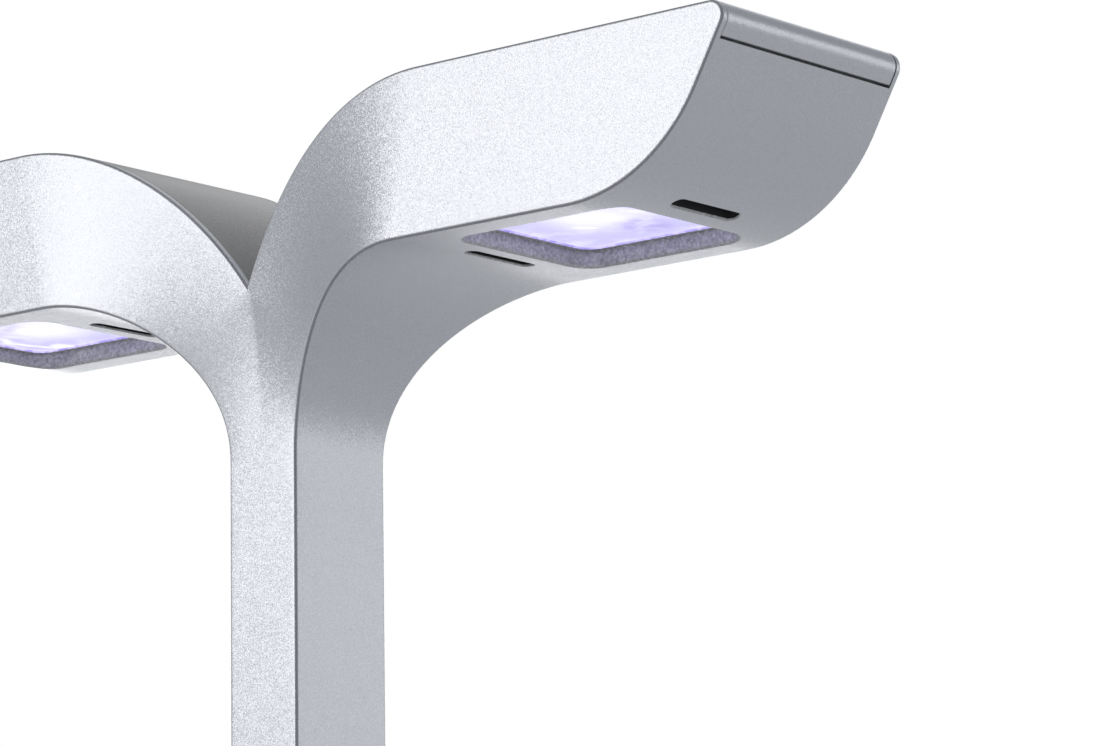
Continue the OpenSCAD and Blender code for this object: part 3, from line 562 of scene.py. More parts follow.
@dataclass(frozen=True)
class WindowGlow:
    """The lit plate of a light window: lavender lamp glow with white spots, and a white ring and
    streak that are painted highlights.
    """

    name: str
    distance: float
    turn: float

    LAVENDER = (0.60, 0.57, 0.88)
    WHITE = (0.96, 0.96, 1.0)
    VIOLET = (0.36, 0.30, 0.78)
    # Centre, where it begins to fade, where it ends, and how much of it shows.
    BLOBS = (((0.000, -0.004), 0.002, 0.020, 0.62), ((0.014, -0.024), 0.002, 0.006, 1.0))
    # The painted highlight ring: centre, radius and width.
    RING = ((0.004, -0.010), 0.0185, 0.0022)
    # The painted highlight streak: centre, direction across it, width and reach.
    STREAK = ((-0.018, -0.018), (0.62, 0.785), 0.0022, 0.010)
    # Centre, where it begins to fade, and where it ends.
    DEEP = ((0.006, 0.012), 0.002, 0.013)
    # How far the shapes are bent.
    WARP = 0.009

    def build(self, effects: Effects) -> bpy.types.Material:
        """Makes the material.

        Args:
            effects: the shared shader groups.

        Returns:
            The material.
        """
        material, n, shader = new_material(self.name)
        local = n.add("ShaderNodeMapping", {
            "Vector": n.place(), "Location": (-self.distance, 0.0, 0.0),
            "Rotation": (0.0, 0.0, self.turn)}).outputs[0]
        flat = n.vector("MULTIPLY", local, (1.0, 1.0, 0.0))
        warp = n.add("ShaderNodeTexNoise", {"Vector": flat, "Scale": 70.0, "Detail": 2.0})
        shift = n.vector("SUBTRACT", warp.outputs["Color"], (0.5, 0.5, 0.5))
        bent = n.vector("MULTIPLY_ADD", shift, (self.WARP, self.WARP, 0.0), flat)

        def away(centre: Point) -> Socket:
            """Distance from a point of the plate."""
            gap = n.vector("SUBTRACT", bent, (*centre, 0.0))
            return n.vector("LENGTH", gap, output="Value")

        bright = n.times(n.ramp(n.noise(bent, 95.0, 2.0), 0.45, 0.75), 0.45)
        for centre, near, far, amount in self.BLOBS:
            blob = n.times(n.rest(n.ramp(away(centre), near, far)), amount)
            bright = n.math("MAXIMUM", bright, blob)
        # Painted highlights on the lens: a broken white ring and a white streak.
        centre, radius, width = self.RING
        off = n.math("ABSOLUTE", n.math("SUBTRACT", away(centre), radius))
        broken = n.ramp(n.noise(flat, 60.0, 1.0), 0.42, 0.6)
        bright = n.math("MAXIMUM", bright, n.times(n.rest(n.ramp(off, 0.0, width)), broken))
        centre, across, width, reach = self.STREAK
        off = n.vector("DOT_PRODUCT", n.vector("SUBTRACT", bent, (*centre, 0.0)), (*across, 0.0),
                       output="Value")
        streak_highlight = n.times(n.rest(n.ramp(n.math("ABSOLUTE", off), 0.0, width)),
                         n.rest(n.ramp(away(centre), reach * 0.6, reach)))
        bright = n.math("MAXIMUM", bright, n.times(streak_highlight, 0.9), clamp=True)
        centre, near, far = self.DEEP
        deep = n.times(n.rest(n.ramp(away(centre), near, far)),
                       n.ramp(n.noise(flat, 140.0, 3.0), 0.35, 0.6))
        glow = n.mix(bright, self.LAVENDER, self.WHITE)
        grain = effects.place(n, effects.grain, {"Scale": Grain.SATIN.scale})
        n.feed(shader, {
            "Emission Color": n.mix(n.times(deep, 0.7), glow, self.VIOLET),
            "Emission Strength": 1.0,
            "Roughness": n.math("ADD", 0.15, n.times(grain["Gloss"], 0.1)),
            "Base Color": (0.03, 0.03, 0.05, 1.0)})
        return material


class Palette:
    """All the finishes of the garden, each built once and looked up by name."""

    SILVER = FlakePaint("silver_shell", (0.55, 0.557, 0.58), (0.75, 0.757, 0.78), 0.76, 0.32,
                        contrast=0.6, scale=3600.0, tilt=0.15)
    # A darker copy of the silver paint: painted shade on the housing's rounded edges and in the
    # cover channels.
    EDGE = FlakePaint("silver_edge", (0.28, 0.28, 0.29), (0.42, 0.42, 0.44), 0.6, 0.38,
                      contrast=0.6)
    # A darker, warmer copy of the silver paint: painted shade on the covers' upward faces.
    COVER = FlakePaint("cover_grey", (0.26, 0.252, 0.24), (0.37, 0.36, 0.345), 0.6, 0.33,
                       contrast=0.5, scale=3600.0, tilt=0.10)
    RECESS = FlakePaint("recess_grey", (0.32, 0.32, 0.325), (0.66, 0.66, 0.67), 0.3, 0.5,
                        contrast=1.0, scale=1500.0, tilt=0.35)
    BEAD = Glow("bead_violet", (0.30, 0.24, 0.70), (0.62, 0.55, 0.96))
    WELL = Moulding("dark_room", (0.02, 0.02, 0.022), 0.6, Grain.MATT)

    def __init__(self) -> None:
        """Builds the shared groups and the materials."""
        self.effects = Effects()
        finishes = [
            self.SILVER, self.EDGE, self.COVER, self.RECESS, self.WELL, self.BEAD,
            Moulding("chamber_white", (0.93, 0.93, 0.95), 0.6, Grain.MATT),
            Moulding("board_white", (0.90, 0.90, 0.88), 0.35, Grain.SATIN, coat=0.3),
            Moulding("led_phosphor", (1.0, 0.85, 0.38), 0.25, Grain.SATIN, coat=0.5),
            Metal("sink_aluminium", (0.78, 0.79, 0.80), 0.35),
            Metal("screw_steel", (0.50, 0.51, 0.52), 0.3, (1.0, 1.0, 1.0)),
            Metal("shaft_steel", (0.75, 0.75, 0.74), 0.18, (0.05, 1.0, 1.0)),
            Moulding("lead_grey", (0.10, 0.10, 0.105), 0.5, Grain.MATT),
            Moulding("dark_plastic", (0.030, 0.032, 0.034), 0.42, Grain.MATT),
            Moulding("guide_grey", (0.16, 0.165, 0.17), 0.45, Grain.MATT),
            Moulding("plate_grey", (0.09, 0.095, 0.10), 0.5, Grain.COARSE),
            Moulding("tank_grey", (0.70, 0.71, 0.73), 0.4, Grain.MATT),
            Moulding("deck_white", (0.83, 0.83, 0.825), 0.36, Grain.SATIN, coat=0.15),
            Moulding("cup_dark", (0.045, 0.048, 0.052), 0.45, Grain.MATT),
            Moulding("pod_white", (0.86, 0.86, 0.84), 0.38, Grain.SATIN),
            Moulding("flap_grey", (0.62, 0.63, 0.65), 0.4, Grain.MATT),
            Moulding("float_blue", (0.035, 0.16, 0.50), 0.35, Grain.SATIN, coat=0.2),
            Moulding("cage_white", (0.66, 0.67, 0.69), 0.42, Grain.MATT),
            Moulding("foot_rubber", (0.016, 0.016, 0.018), 0.75, Grain.COARSE),
            Moulding("tube_clear", (0.86, 0.89, 0.90), 0.2, Grain.SATIN, alpha=0.75),
            Moulding("button_grey", (0.60, 0.61, 0.63), 0.36, Grain.SATIN),
            Moulding("light_green", (0.20, 0.75, 0.32), 0.2, Grain.SATIN, coat=0.6),
            Moulding("board_green", (0.01, 0.09, 0.035), 0.3, Grain.SATIN, coat=0.4),
            Fibre("plug_fibre", (0.030, 0.018, 0.010), (0.16, 0.10, 0.055)),
        ]
        self.materials = {finish.name: finish.build(self.effects) for finish in finishes}

    def __getitem__(self, name: str) -> bpy.types.Material:
        """The material of that name."""
        return self.materials[name]


# ---------------------------------------------------------------- mesh helpers


@contextmanager
def reworked(mesh: bpy.types.Mesh) -> Iterator[bmesh.types.BMesh]:
    """Opens a mesh for editing, and writes it back at the end.

    Args:
        mesh: the mesh.

    Yields:
        The mesh as it is edited.
    """
    work = bmesh.new()
    work.from_mesh(mesh)
    yield work
    work.to_mesh(mesh)
    work.free()


def stand(name: str, mesh: bpy.types.Mesh) -> bpy.types.Object:
    """Makes an object of a mesh and links it to the scene.

    Args:
        name: the object's name.
        mesh: its mesh.

    Returns:
        The object.
    """
    piece = bpy.data.objects.new(name, mesh)
    bpy.context.scene.collection.objects.link(piece)
    return piece


def put_mesh(name: str, points: Iterable[Sequence[float]], faces: Iterable[Sequence[int]],
             *materials: bpy.types.Material, marks: Iterable[int] = ()) -> bpy.types.Object:
    """Makes a smooth mesh object: doubles are merged and faces turned outwards.

    Args:
        name: the object's name.
        points: the vertices, in millimetres.
        faces: the faces' corner indices.
        materials: the finishes.
        marks: for each face, which of the finishes it has; all have the first one without it.

    Returns:
        The new object, linked to the scene.
    """
    mesh = bpy.data.meshes.new(name)
    mesh.from_pydata([Vector(p) * MM for p in points], [], [tuple(f) for f in faces])
    for face, mark in zip(mesh.polygons, marks):
        face.material_index = mark
    with reworked(mesh) as work:
        bmesh.ops.remove_doubles(work, verts=work.verts, dist=WELD_NEW)
        bmesh.ops.dissolve_degenerate(work, edges=work.edges, dist=SLIVER)
        bmesh.ops.recalc_face_normals(work, faces=work.faces)
        for face in work.faces:
            face.smooth = True
    for material in materials:
        mesh.materials.append(material)
    return stand(name, mesh)


def soften(piece: bpy.types.Object, width: float, segments: int = 2, angle: float = 35.0) -> None:
    """Rounds a piece's sharp edges and evens its shading.

    Args:
        piece: the mesh object.
        width: width of the rounding, in millimetres.
        segments: faces across each rounding.
        angle: edges sharper than this many degrees are rounded.
    """
    bevel = piece.modifiers.new("edges", "BEVEL")
    bevel.width = width * MM
    bevel.segments = segments
    bevel.limit_method = "ANGLE"
    bevel.angle_limit = math.radians(angle)
    bevel.miter_outer = "MITER_ARC"
    weighted = piece.modifiers.new("shading", "WEIGHTED_NORMAL")
    weighted.keep_sharp = True
    weighted.weight = FACE_WEIGHT


def settle(piece: bpy.types.Object) -> None:
    """Turns a piece's modifiers into its mesh.

    Args:
        piece: the mesh object.
    """
    graph = bpy.context.evaluated_depsgraph_get()
    mesh = bpy.data.meshes.new_from_object(piece.evaluated_get(graph))
    piece.modifiers.clear()
    piece.data = mesh


def close_gaps(piece: bpy.types.Object) -> None:
    """Merges the doubles that cuts leave in a mesh, and fills small holes.

    Args:
        piece: the mesh object.
    """
    with reworked(piece.data) as work:
        bmesh.ops.remove_doubles(work, verts=work.verts, dist=WELD_CUT)
        bmesh.ops.holes_fill(work, edges=[e for e in work.edges if e.is_boundary], sides=GAP_SIDES)


def geometry_tree(name: str, inputs: Sequence[tuple[str, str]]
                  ) -> tuple[bpy.types.NodeTree, Nodes, dict]:
    """Makes an empty Geometry Nodes tree with a mesh input, named inputs and a finish.

    Args:
        name: the tree's name.
        inputs: names of its inputs and their kinds, such as Float.

    Returns:
        The tree, its nodes helper, and its input sockets by name.
    """
    tree = bpy.data.node_groups.new(name, "GeometryNodeTree")
    for label, kind in (("Geometry", "Geometry"), *inputs, ("Finish", "Material")):
        tree.interface.new_socket(label, in_out="INPUT", socket_type="NodeSocket" + kind)
    tree.interface.new_socket("Geometry", in_out="OUTPUT", socket_type="NodeSocketGeometry")
    nodes = Nodes(tree)
    given = nodes.add("NodeGroupInput")
    return tree, nodes, {socket.name: socket for socket in given.outputs if socket.name}


def end_tree(nodes: Nodes, given: dict, parts: Sequence[bpy.types.NodeSocket]) -> None:
    """Joins a tree's parts, turns its instances into a mesh and gives that its finish.

    Args:
        nodes: the tree's nodes helper.
        given: the tree's inputs.
        parts: the parts to join.
    """
    joined = nodes.add("GeometryNodeJoinGeometry")
    for part in parts:
        nodes.tree.links.new(part, joined.inputs[0])
    real = nodes.add("GeometryNodeRealizeInstances", {"Geometry": joined.outputs[0]})
    dressed = nodes.add("GeometryNodeSetMaterial", {"Geometry": real.outputs[0],
                                                    "Material": given["Finish"]})
    nodes.add("NodeGroupOutput", {"Geometry": dressed.outputs[0]})


def grow(name: str, tree: bpy.types.NodeTree, values: dict,
         mesh: bpy.types.Mesh | None = None) -> bpy.types.Object:
    """Runs a Geometry Nodes tree and keeps its result as a plain mesh.

    Args:
        name: the piece's name.
        tree: the tree.
        values: values of its inputs by name.
        mesh: the mesh that it starts from, if any.

    Returns:
        The new piece.
    """
    piece = stand(name, mesh or bpy.data.meshes.new(name))
    modifier = piece.modifiers.new("pattern", "NODES")
    modifier.node_group = tree
    for item in tree.interface.items_tree:
        if item.item_type == "SOCKET" and item.in_out == "INPUT" and item.name in values:
            modifier[item.identifier] = values[item.name]
    settle(piece)
    return piece


class Frame:
    """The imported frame, with calls that dress its nodes."""

    def __init__(self, palette: Palette) -> None:
        """Loads the frame.

        Args:
            palette: the finishes.
        """
        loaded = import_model()
        self.nodes: dict[str, bpy.types.Object] = loaded["nodes"]
        self.palette = palette
        record = loaded["record"]
        self.slots = {part["node"]: part["material_slot"] for part in record["subparts"]}
        bodies = record["behaviour"]["bodies"].items()
        self.body = {node: body for body, members in bodies for node in members}

    def dress(self, *names: str) -> None:
        """Gives nodes that stay the finishes that their slots name.

        Args:
            names: the nodes' names.
        """
        for node in names:
            mesh = self.nodes[node].data
            mesh.materials.clear()
            mesh.materials.append(self.palette[self.slots[node]])
            LOG.info("%s is dressed", node)

    def adopt(self, piece: bpy.types.Object, node: str) -> bpy.types.Object:
        """Lets a piece stand for a node: it rides on the node's body and the node is hidden.

        Args:
            piece: the finished piece.
            node: the node that it replaces.

        Returns:
            The piece.
        """
        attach(piece, self.body[node])
        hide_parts(node)
        LOG.info("%s stands for %s", piece.name, node)
        return piece

    def attach(self, piece: bpy.types.Object, node: str) -> bpy.types.Object:
        """Lets an added piece ride with a node's body.

        Args:
            piece: the finished piece.
            node: the node that carries it.

        Returns:
            The piece.
        """
        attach(piece, self.body[node])
        LOG.info("%s is carried by %s", piece.name, node)
        return piece

    def welded(self, node: str, plain: bool = False) -> bpy.types.Mesh:
        """Copies a node's mesh with its doubles merged.

        Args:
            node: the node's name.
            plain: whether faces that lie in one plane are made one, and all faces smooth.

        Returns:
            The copy.
        """
        mesh = self.nodes[node].data.copy()
        with reworked(mesh) as work:
            bmesh.ops.remove_doubles(work, verts=work.verts, dist=WELD_CAD)
            if plain:
                bmesh.ops.dissolve_degenerate(work, edges=work.edges, dist=SLIVER)
                bmesh.ops.dissolve_limit(work, angle_limit=FLAT_WITHIN, verts=work.verts,
                                         edges=work.edges)
                for face in work.faces:
                    face.smooth = True
        return mesh

    def rounded(self, node: str, width: float, segments: int = 2) -> bpy.types.Object:
        """Replaces a node by a copy of itself with rounded edges.

        Args:
            node: the node's name.
            width: width of the rounding, in millimetres.
            segments: faces across each rounding.

        Returns:
            The new piece.
        """
        mesh = self.welded(node, plain=True)
        mesh.name = node + "_skin"
        mesh.materials.clear()
        mesh.materials.append(self.palette[self.slots[node]])
        piece = stand(node + "_skin", mesh)
        soften(piece, width, segments)
        return self.adopt(piece, node)


# ---------------------------------------------------------------- the lamp


@dataclass(frozen=True)
class LampShape:
    """Sizes of the lamp in millimetres, and the curves that follow from them."""

    post_x: float = 26.0
    post_y: float = 38.0
    arm_w: float = 80.0
    reach: float = 190.0
    under_z: float = 312.0
    top_z: float = 360.0
    bend_z: float = 262.0
    bend_x: float = 69.0
    bend_reach: float = 56.0
    bend_drop: float = 50.0
    crown_a: float = 98.0
    crown_b: float = 119.0
    crown_x: float = 79.0
    tip_r: float = 52.0
    lean: float = math.radians(30.0)
    nose_r: float = 4.5
    rail_w: float = 2.2
    seam: float = 0.3
    cover_t: float = 1.8
    cover_end: float = 350.3
    silver_from: float = 170.0
    window_x: float = 111.5
    window_l: float = 58.0
    window_w: float = 58.0
    window_r: float = 7.0
    window_depth: float = 5.0
    lip: float = 1.5
    room_l: float = 80.5
    slot_l: float = 27.5
    slot_w: float = 4.0
    slot_x: float = 37.0
    edge_r: float = 1.0
    flare_power: float = 1.15
    level_x: float = 130.0
    end_z: float = 346.0
    channel_rise: float = 1.5
    channel_start: float = -0.6
    channel_room: float = 0.15
    channel_end: float = 0.8
    plate_t: float = 1.2
    plate_gap: float = 0.3
    plate_seam: float = 0.4
    bead_r: float = 0.4
    bead_in: float = 0.65
    bead_pitch: float = 2.6
    bead_clip: float = 1.0

    @property
    def crotch(self) -> float:
        """Angle at which the outer bend leaves the post's axis."""
        return math.acos(self.crown_x / self.crown_a)

    def half_width(self, a: float) -> float:
        """Half the width of the section at an angle of the bend."""
        t = (a / QUARTER) ** self.flare_power
        return (self.post_y + (self.arm_w - self.post_y) * t * t * (3 - 2 * t)) / 2

    def inner(self, a: float, inset: float = 0.0) -> Point:
        """Point of the inner bend at an angle, drawn inwards."""
        return (self.bend_x - (self.bend_reach + inset) * math.cos(a),
                self.bend_z + (self.bend_drop + inset) * math.sin(a))

    def outer(self, a: float, inset: float = 0.0) -> Point:
        """Point of the outer bend at an angle, drawn inwards."""
        return (self.crown_x - (self.crown_a - inset) * math.cos(a),
                self.top_z - self.crown_b + (self.crown_b - inset) * math.sin(a))

    def slope_x(self, z: float, inset: float = 0.0) -> float:
        """X of the leaning end face at a height."""
        return self.reach - inset / math.cos(self.lean) - (self.top_z - z) * math.tan(self.lean)

    @property
    def tip_start(self) -> float:
        """X where the underside begins to bend up to the end face.

        Returns:
            The place, in millimetres from the post's axis.
        """
        turn = QUARTER - self.lean
        end_x = self.slope_x(self.under_z + self.tip_r * (1 - math.cos(turn)))
        return end_x - self.tip_r * math.sin(turn)

    def under(self, x: float) -> float:
        """Height of the arm's underside at a distance from the post's axis."""
        beyond = max(0.0, x - self.tip_start)
        return self.under_z + self.tip_r - math.sqrt(self.tip_r ** 2 - beyond ** 2)

    def nose(self, inset: float, steps: int) -> list[Point]:
        """Points round the nose, from the top of the arm to the end face.

        Args:
            inset: how far below the surface.
            steps: faces round the nose.

        Returns:
            The points.
        """
        radius = self.nose_r - inset
        flat = self.top_z - inset
        cut = radius / math.tan((QUARTER - self.lean) / 2)
        centre_x, centre_z = self.slope_x(flat, inset) - cut, flat - radius
        turns = [QUARTER - (QUARTER + self.lean) * i / steps for i in range(steps + 1)]
        return [(centre_x + radius * math.cos(a), centre_z + radius * math.sin(a)) for a in turns]

    def top_path(self, inset: float, end_z: float, steps: int = 40) -> list[Xyz]:
        """Points (x, z, half width) along the top of an arm, from the crotch over the nose.

        Args:
            inset: how far below the surface.
            end_z: height on the end face where the path ends.
            steps: points round the bend.

        Returns:
            The points.
        """
        start = math.acos(self.crown_x / (self.crown_a - inset))
        path = []
        for i in range(steps + 1):
            t = i / steps
            x, z = self.outer(start + (QUARTER - start) * t, inset)
            path.append((x, z, self.half_width(self.crotch + (QUARTER - self.crotch) * t)))
        path.append((self.level_x, self.top_z - inset, self.arm_w / 2))
        path += [(x, z, self.arm_w / 2) for x, z in self.nose(inset, 10)]
        path.append((self.slope_x(end_z, inset), end_z, self.arm_w / 2))
        return path


def turned(points: Iterable[Sequence[float]], side: Side) -> list[Xyz]:
    """Points of the right arm, turned half round the post for the left arm.

    Args:
        points: points of the right arm.
        side: the arm wanted.

    Returns:
        The points on that arm.
    """
    sign = side.value
    return [(sign * x, sign * y, z) for x, y, z in points]


def between(a: Point, b: Point, count: int) -> list[Point]:
    """Points that divide a line evenly, without its first end."""
    return [(a[0] + (b[0] - a[0]) * i / count, a[1] + (b[1] - a[1]) * i / count)
            for i in range(1, count + 1)]


def rounded_rectangle(length: float, width: float, radius: float, steps: int = 8) -> list[Point]:
    """Outline of a rectangle with round corners, about its centre.

    Args:
        length: its size along X.
        width: its size along Y.
        radius: radius of its corners.
        steps: faces round each corner.

    Returns:
        The outline's points.
    """
    points = []
    for quarter, (sx, sy) in enumerate(((1, 1), (-1, 1), (-1, -1), (1, -1))):
        for i in range(steps + 1):
            a = QUARTER * (quarter + i / steps)
            points.append((sx * (length / 2 - radius) + radius * math.cos(a),
                           sy * (width / 2 - radius) + radius * math.sin(a)))
    return points


def prism(outline: Sequence[Point], low: float, high: float, at_x: float = 0.0) -> Solid:
    """Points and faces of an upright prism.

    Args:
        outline: its outline.
        low: its lower end.
        high: its upper end.
        at_x: where the outline's centre goes along the arm.

    Returns:
        The points and the faces.
    """
    n = len(outline)
    points = [(x + at_x, y, z) for z in (low, high) for x, y in outline]
    faces = [[*range(n)][::-1], [*range(n, 2 * n)]]
    faces += [[i, (i + 1) % n, n + (i + 1) % n, n + i] for i in range(n)]
    return points, faces


@dataclass
class Lamp:
    """The lamp: housing, top covers, light windows and what is in the arms."""

    frame: Frame
    shape: LampShape = LampShape()
    foot_edge: float = 0.6
    cover_edge: float = 0.35
    plate_edge: float = 0.3
    mouth_edge: float = 1.0
    slot_edge: float = 0.5
    bead: bpy.types.NodeTree = field(init=False)

    # Heights of the sections of the post, in millimetres.
    POST_ROWS = (33.2, 80.0, 130.0, 180.0, 220.0, 240.0, 244.0, 248.0, 252.0, 255.5, 259.0)
    # Sections below the crotch and above it, round the tip and the nose, and on a level run.
    BELOW, ABOVE = 24, 48
    TIP_STEPS, NOSE_STEPS, LEVEL_STEPS = 24, 12, 4
    # Faces up a side, across a sheet and round an edge, with the rounding's faces that carry
    # painted shade.
    STRIPS, ACROSS, EDGE_STEPS = 10, 10, 4
    DARK_RINGS = (1, 2)
    # Passes that even the flare, and the angle from which an edge is sharp.
    RELAX = 60
    SHARP = math.radians(28.0)
    # A cutter's rounded mouth: where its rounding starts, and its steps.
    MOUTH_FIRST, MOUTH_STEPS = math.radians(14.0), 5
    # How far below the underside a cutter's mouth begins, in millimetres.
    MOUTH_DROP = 3.0
    # How far a cutter reaches past a face that it goes through, in millimetres.
    PAST = 0.5
    # Thickness of a clip, as a multiple of the bead's radius.
    CLIP_THICK = 1.9

    def __post_init__(self) -> None:
        """Builds the tree of the beads."""
        self.bead = self.bead_tree()

    def build(self) -> None:
        """Builds and dresses the whole lamp."""
        self.housing()
        for side in Side:
            self.cover(side)
            self.window(side)
            self.frame.dress(*(f"{node}_{side.label}" for node in (
                "light_chamber", "led_board", "led_chips", "heat_sink")))
        self.frame.rounded("post_foot", self.foot_edge)
        self.frame.dress("lamp_lead", "heat_sink_screws")

    def sections(self, inset: float) -> list[tuple[Point, Point, float]]:
        """Sections of the right half, drawn inwards by an inset.

        Args:
            inset: how far below the surface.

        Returns:
            For each section a point below or inside, a point above or outside, and the half width.
        """
        s = self.shape
        start = math.acos(s.crown_x / (s.crown_a - inset))
        crotch_z = s.outer(start, inset)[1]
        rows = [((s.post_x / 2 - inset, z), (0.0, z), s.post_y / 2) for z in self.POST_ROWS]
        for i in range(self.BELOW + 1):
            a = s.crotch * i / self.BELOW
            z = s.bend_z + (crotch_z - s.bend_z) * i / self.BELOW
            rows.append((s.inner(a, inset), (0.0, z), s.half_width(a)))
        for i in range(1, self.ABOVE + 1):
            t = i / self.ABOVE
            a = s.crotch + (QUARTER - s.crotch) * t
            top = s.outer(start + (QUARTER - start) * t, inset)
            rows.append((s.inner(a, inset), top, s.half_width(a)))
        radius, level = s.tip_r - inset, self.LEVEL_STEPS
        turns = [(QUARTER - s.lean) * i / self.TIP_STEPS for i in range(1, self.TIP_STEPS + 1)]
        arc = [(s.tip_start + radius * math.sin(a), s.under_z + s.tip_r - radius * math.cos(a))
               for a in turns]
        nose = s.nose(inset, self.NOSE_STEPS)
        middle = (s.slope_x(s.end_z, inset), s.end_z)
        low = between((s.bend_x, s.under_z + inset), (s.tip_start, s.under_z + inset), level)
        low += arc + between(arc[-1], middle, level)
        high = between((s.crown_x, s.top_z - inset), nose[0], len(low) - len(nose[1:]) - level)
        high += nose[1:] + between(nose[-1], middle, level)
        return rows + [(p, q, s.arm_w / 2) for p, q in zip(low, high)]

    def housing(self) -> None:
        """Lofts the Y-shaped housing, and cuts windows, slots, rooms and cover channels."""
        points: list[Xyz] = []
        faces: list[list[int]] = []
        marks: list[int] = []
        for side in Side:
            self.half(side, points, faces, marks)
        palette = self.frame.palette
        # The second finish is painted shade on rings of the rounded edges.
        body = put_mesh("lamp_housing", points, faces, palette["silver_shell"],
                        palette["silver_edge"], marks=marks)
        for side in Side:
            for parts in self.cuts():
                self.carve(body, parts, side)
        close_gaps(body)
        body.data.set_sharp_from_angle(angle=self.SHARP)
        weighted = body.modifiers.new("shading", "WEIGHTED_NORMAL")
        weighted.keep_sharp = True
        settle(body)
        self.frame.adopt(body, "lamp_body")

    def half(self, side: Side, points: list, faces: list, marks: list) -> None:
        """Adds one half of the housing's skin.

        Args:
            side: the half.
            points: vertices that the half is added to.
            faces: faces that the half is added to.
            marks: for each face 1 on the rounded edges' rings of painted shade and 0 elsewhere,
                which the half is added to.
        """
        r, steps, first = self.shape.edge_r, self.EDGE_STEPS, len(points)
        turns = [QUARTER * j / steps for j in range(steps + 1)]
        rings = [self.sections(r * (1 - math.cos(t))) for t in turns]
        count, split = len(rings[0]), len(self.POST_ROWS) + self.BELOW
        size = 4 * (steps + 1)  # a section has two ends with two rounded corners each

        def at(row: int, end: int, face: int, ring: int) -> int:
            """Index of a point: row, low or high end, near or far face, ring of the rounding."""
            return first + row * size + (end * 2 + face) * (steps + 1) + ring

        for row in range(count):
            for end in (0, 1):
                for face in (-1, 1):
                    for ring, t in enumerate(turns):
                        x, z = rings[ring][row][end]
                        y = face * (rings[ring][row][2] - r + r * math.sin(t))
                        points.append((side.value * x, side.value * y, z))
        for row in range(count - 1):
            for end in (0, 1):
                if end == 1 and row < split:
                    continue
                for face in (0, 1):
                    for ring in range(steps):
                        marks += [0] * (len(faces) - len(marks)) + [int(ring in self.DARK_RINGS)]
                        faces.append([
                            at(row, end, face, ring), at(row + 1, end, face, ring),
                            at(row + 1, end, face, ring + 1), at(row, end, face, ring + 1)])
                lines = [(at(i, end, 0, 0), at(i, end, 1, 0)) for i in (row, row + 1)]
                self.sheet(points, faces, lines, self.ACROSS)
        flare = self.flare(rings[steps], split)
        for face in (-1, 1):
            begin = len(points)
            points += [(side.value * x, side.value * face * y, z)
                       for line in flare for x, y, z in line]
            for row in range(count - 1):
                for k in range(self.STRIPS):
                    a = begin + row * (self.STRIPS + 1) + k
                    b = a + self.STRIPS + 1
                    faces.append([a, b, b + 1, a + 1])
        near = [at(0, 0, 0, j) for j in range(steps, -1, -1)]
        far = [at(0, 0, 1, j) for j in range(steps + 1)]
        low = [self.blend(points, at(0, 0, 0, 0), at(0, 0, 1, 0), k / self.ACROSS)
               for k in range(1, self.ACROSS)]
        edges = [[self.blend(points, at(0, 0, f, steps), at(0, 1, f, steps), k / self.STRIPS)
                  for k in range(1, self.STRIPS)] for f in (0, 1)]
        faces.append(near + low + far + edges[1] + [at(0, 1, 1, steps), at(0, 1, 0, steps)]
                     + edges[0][::-1])
        marks += [0] * (len(faces) - len(marks))

    def flare(self, rows: list[tuple[Point, Point, float]], split: int) -> list[list[list[float]]]:
        """Points of a side face, with its flare evened so that it runs on smoothly past the crotch.

        Args:
            rows: the sections of the right half.
            split: the row at the crotch; the rows before it end on the post's axis.

        Returns:
            For each row its points (x, distance from the middle plane, z).
        """
        n = self.STRIPS
        grid = [[[p[0] + (q[0] - p[0]) * k / n, w, p[1] + (q[1] - p[1]) * k / n]
                 for k in range(n + 1)] for p, q, w in rows]
        for _ in range(self.RELAX):
            before = [[cell[1] for cell in line] for line in grid]
            for r in range(1, len(rows) - 1):
                for k in range(1, n + 1 if r < split else n):
                    beyond = before[r][k + 1] if k < n else before[r][k - 1]
                    around = before[r - 1][k] + before[r + 1][k] + before[r][k - 1] + beyond
                    grid[r][k][1] = around / 4
        return grid

    @staticmethod
    def blend(points: list, a: int, b: int, t: float) -> int:
        """Adds a point between two others and gives its index."""
        points.append(tuple(p + (q - p) * t for p, q in zip(points[a], points[b])))
        return len(points) - 1

    def sheet(self, points: list, faces: list, lines: list[tuple[int, int]], count: int) -> None:
        """Fills the space between two lines with faces.

        Args:
            points: the vertices.
            faces: the faces.
            lines: the two lines, each by the indices of its ends.
            count: faces along the lines.
        """
        chains = [[a] + [self.blend(points, a, b, k / count) for k in range(1, count)] + [b]
                  for a, b in lines]
        for k in range(count):
            faces.append([chains[0][k], chains[1][k], chains[1][k + 1], chains[0][k + 1]])

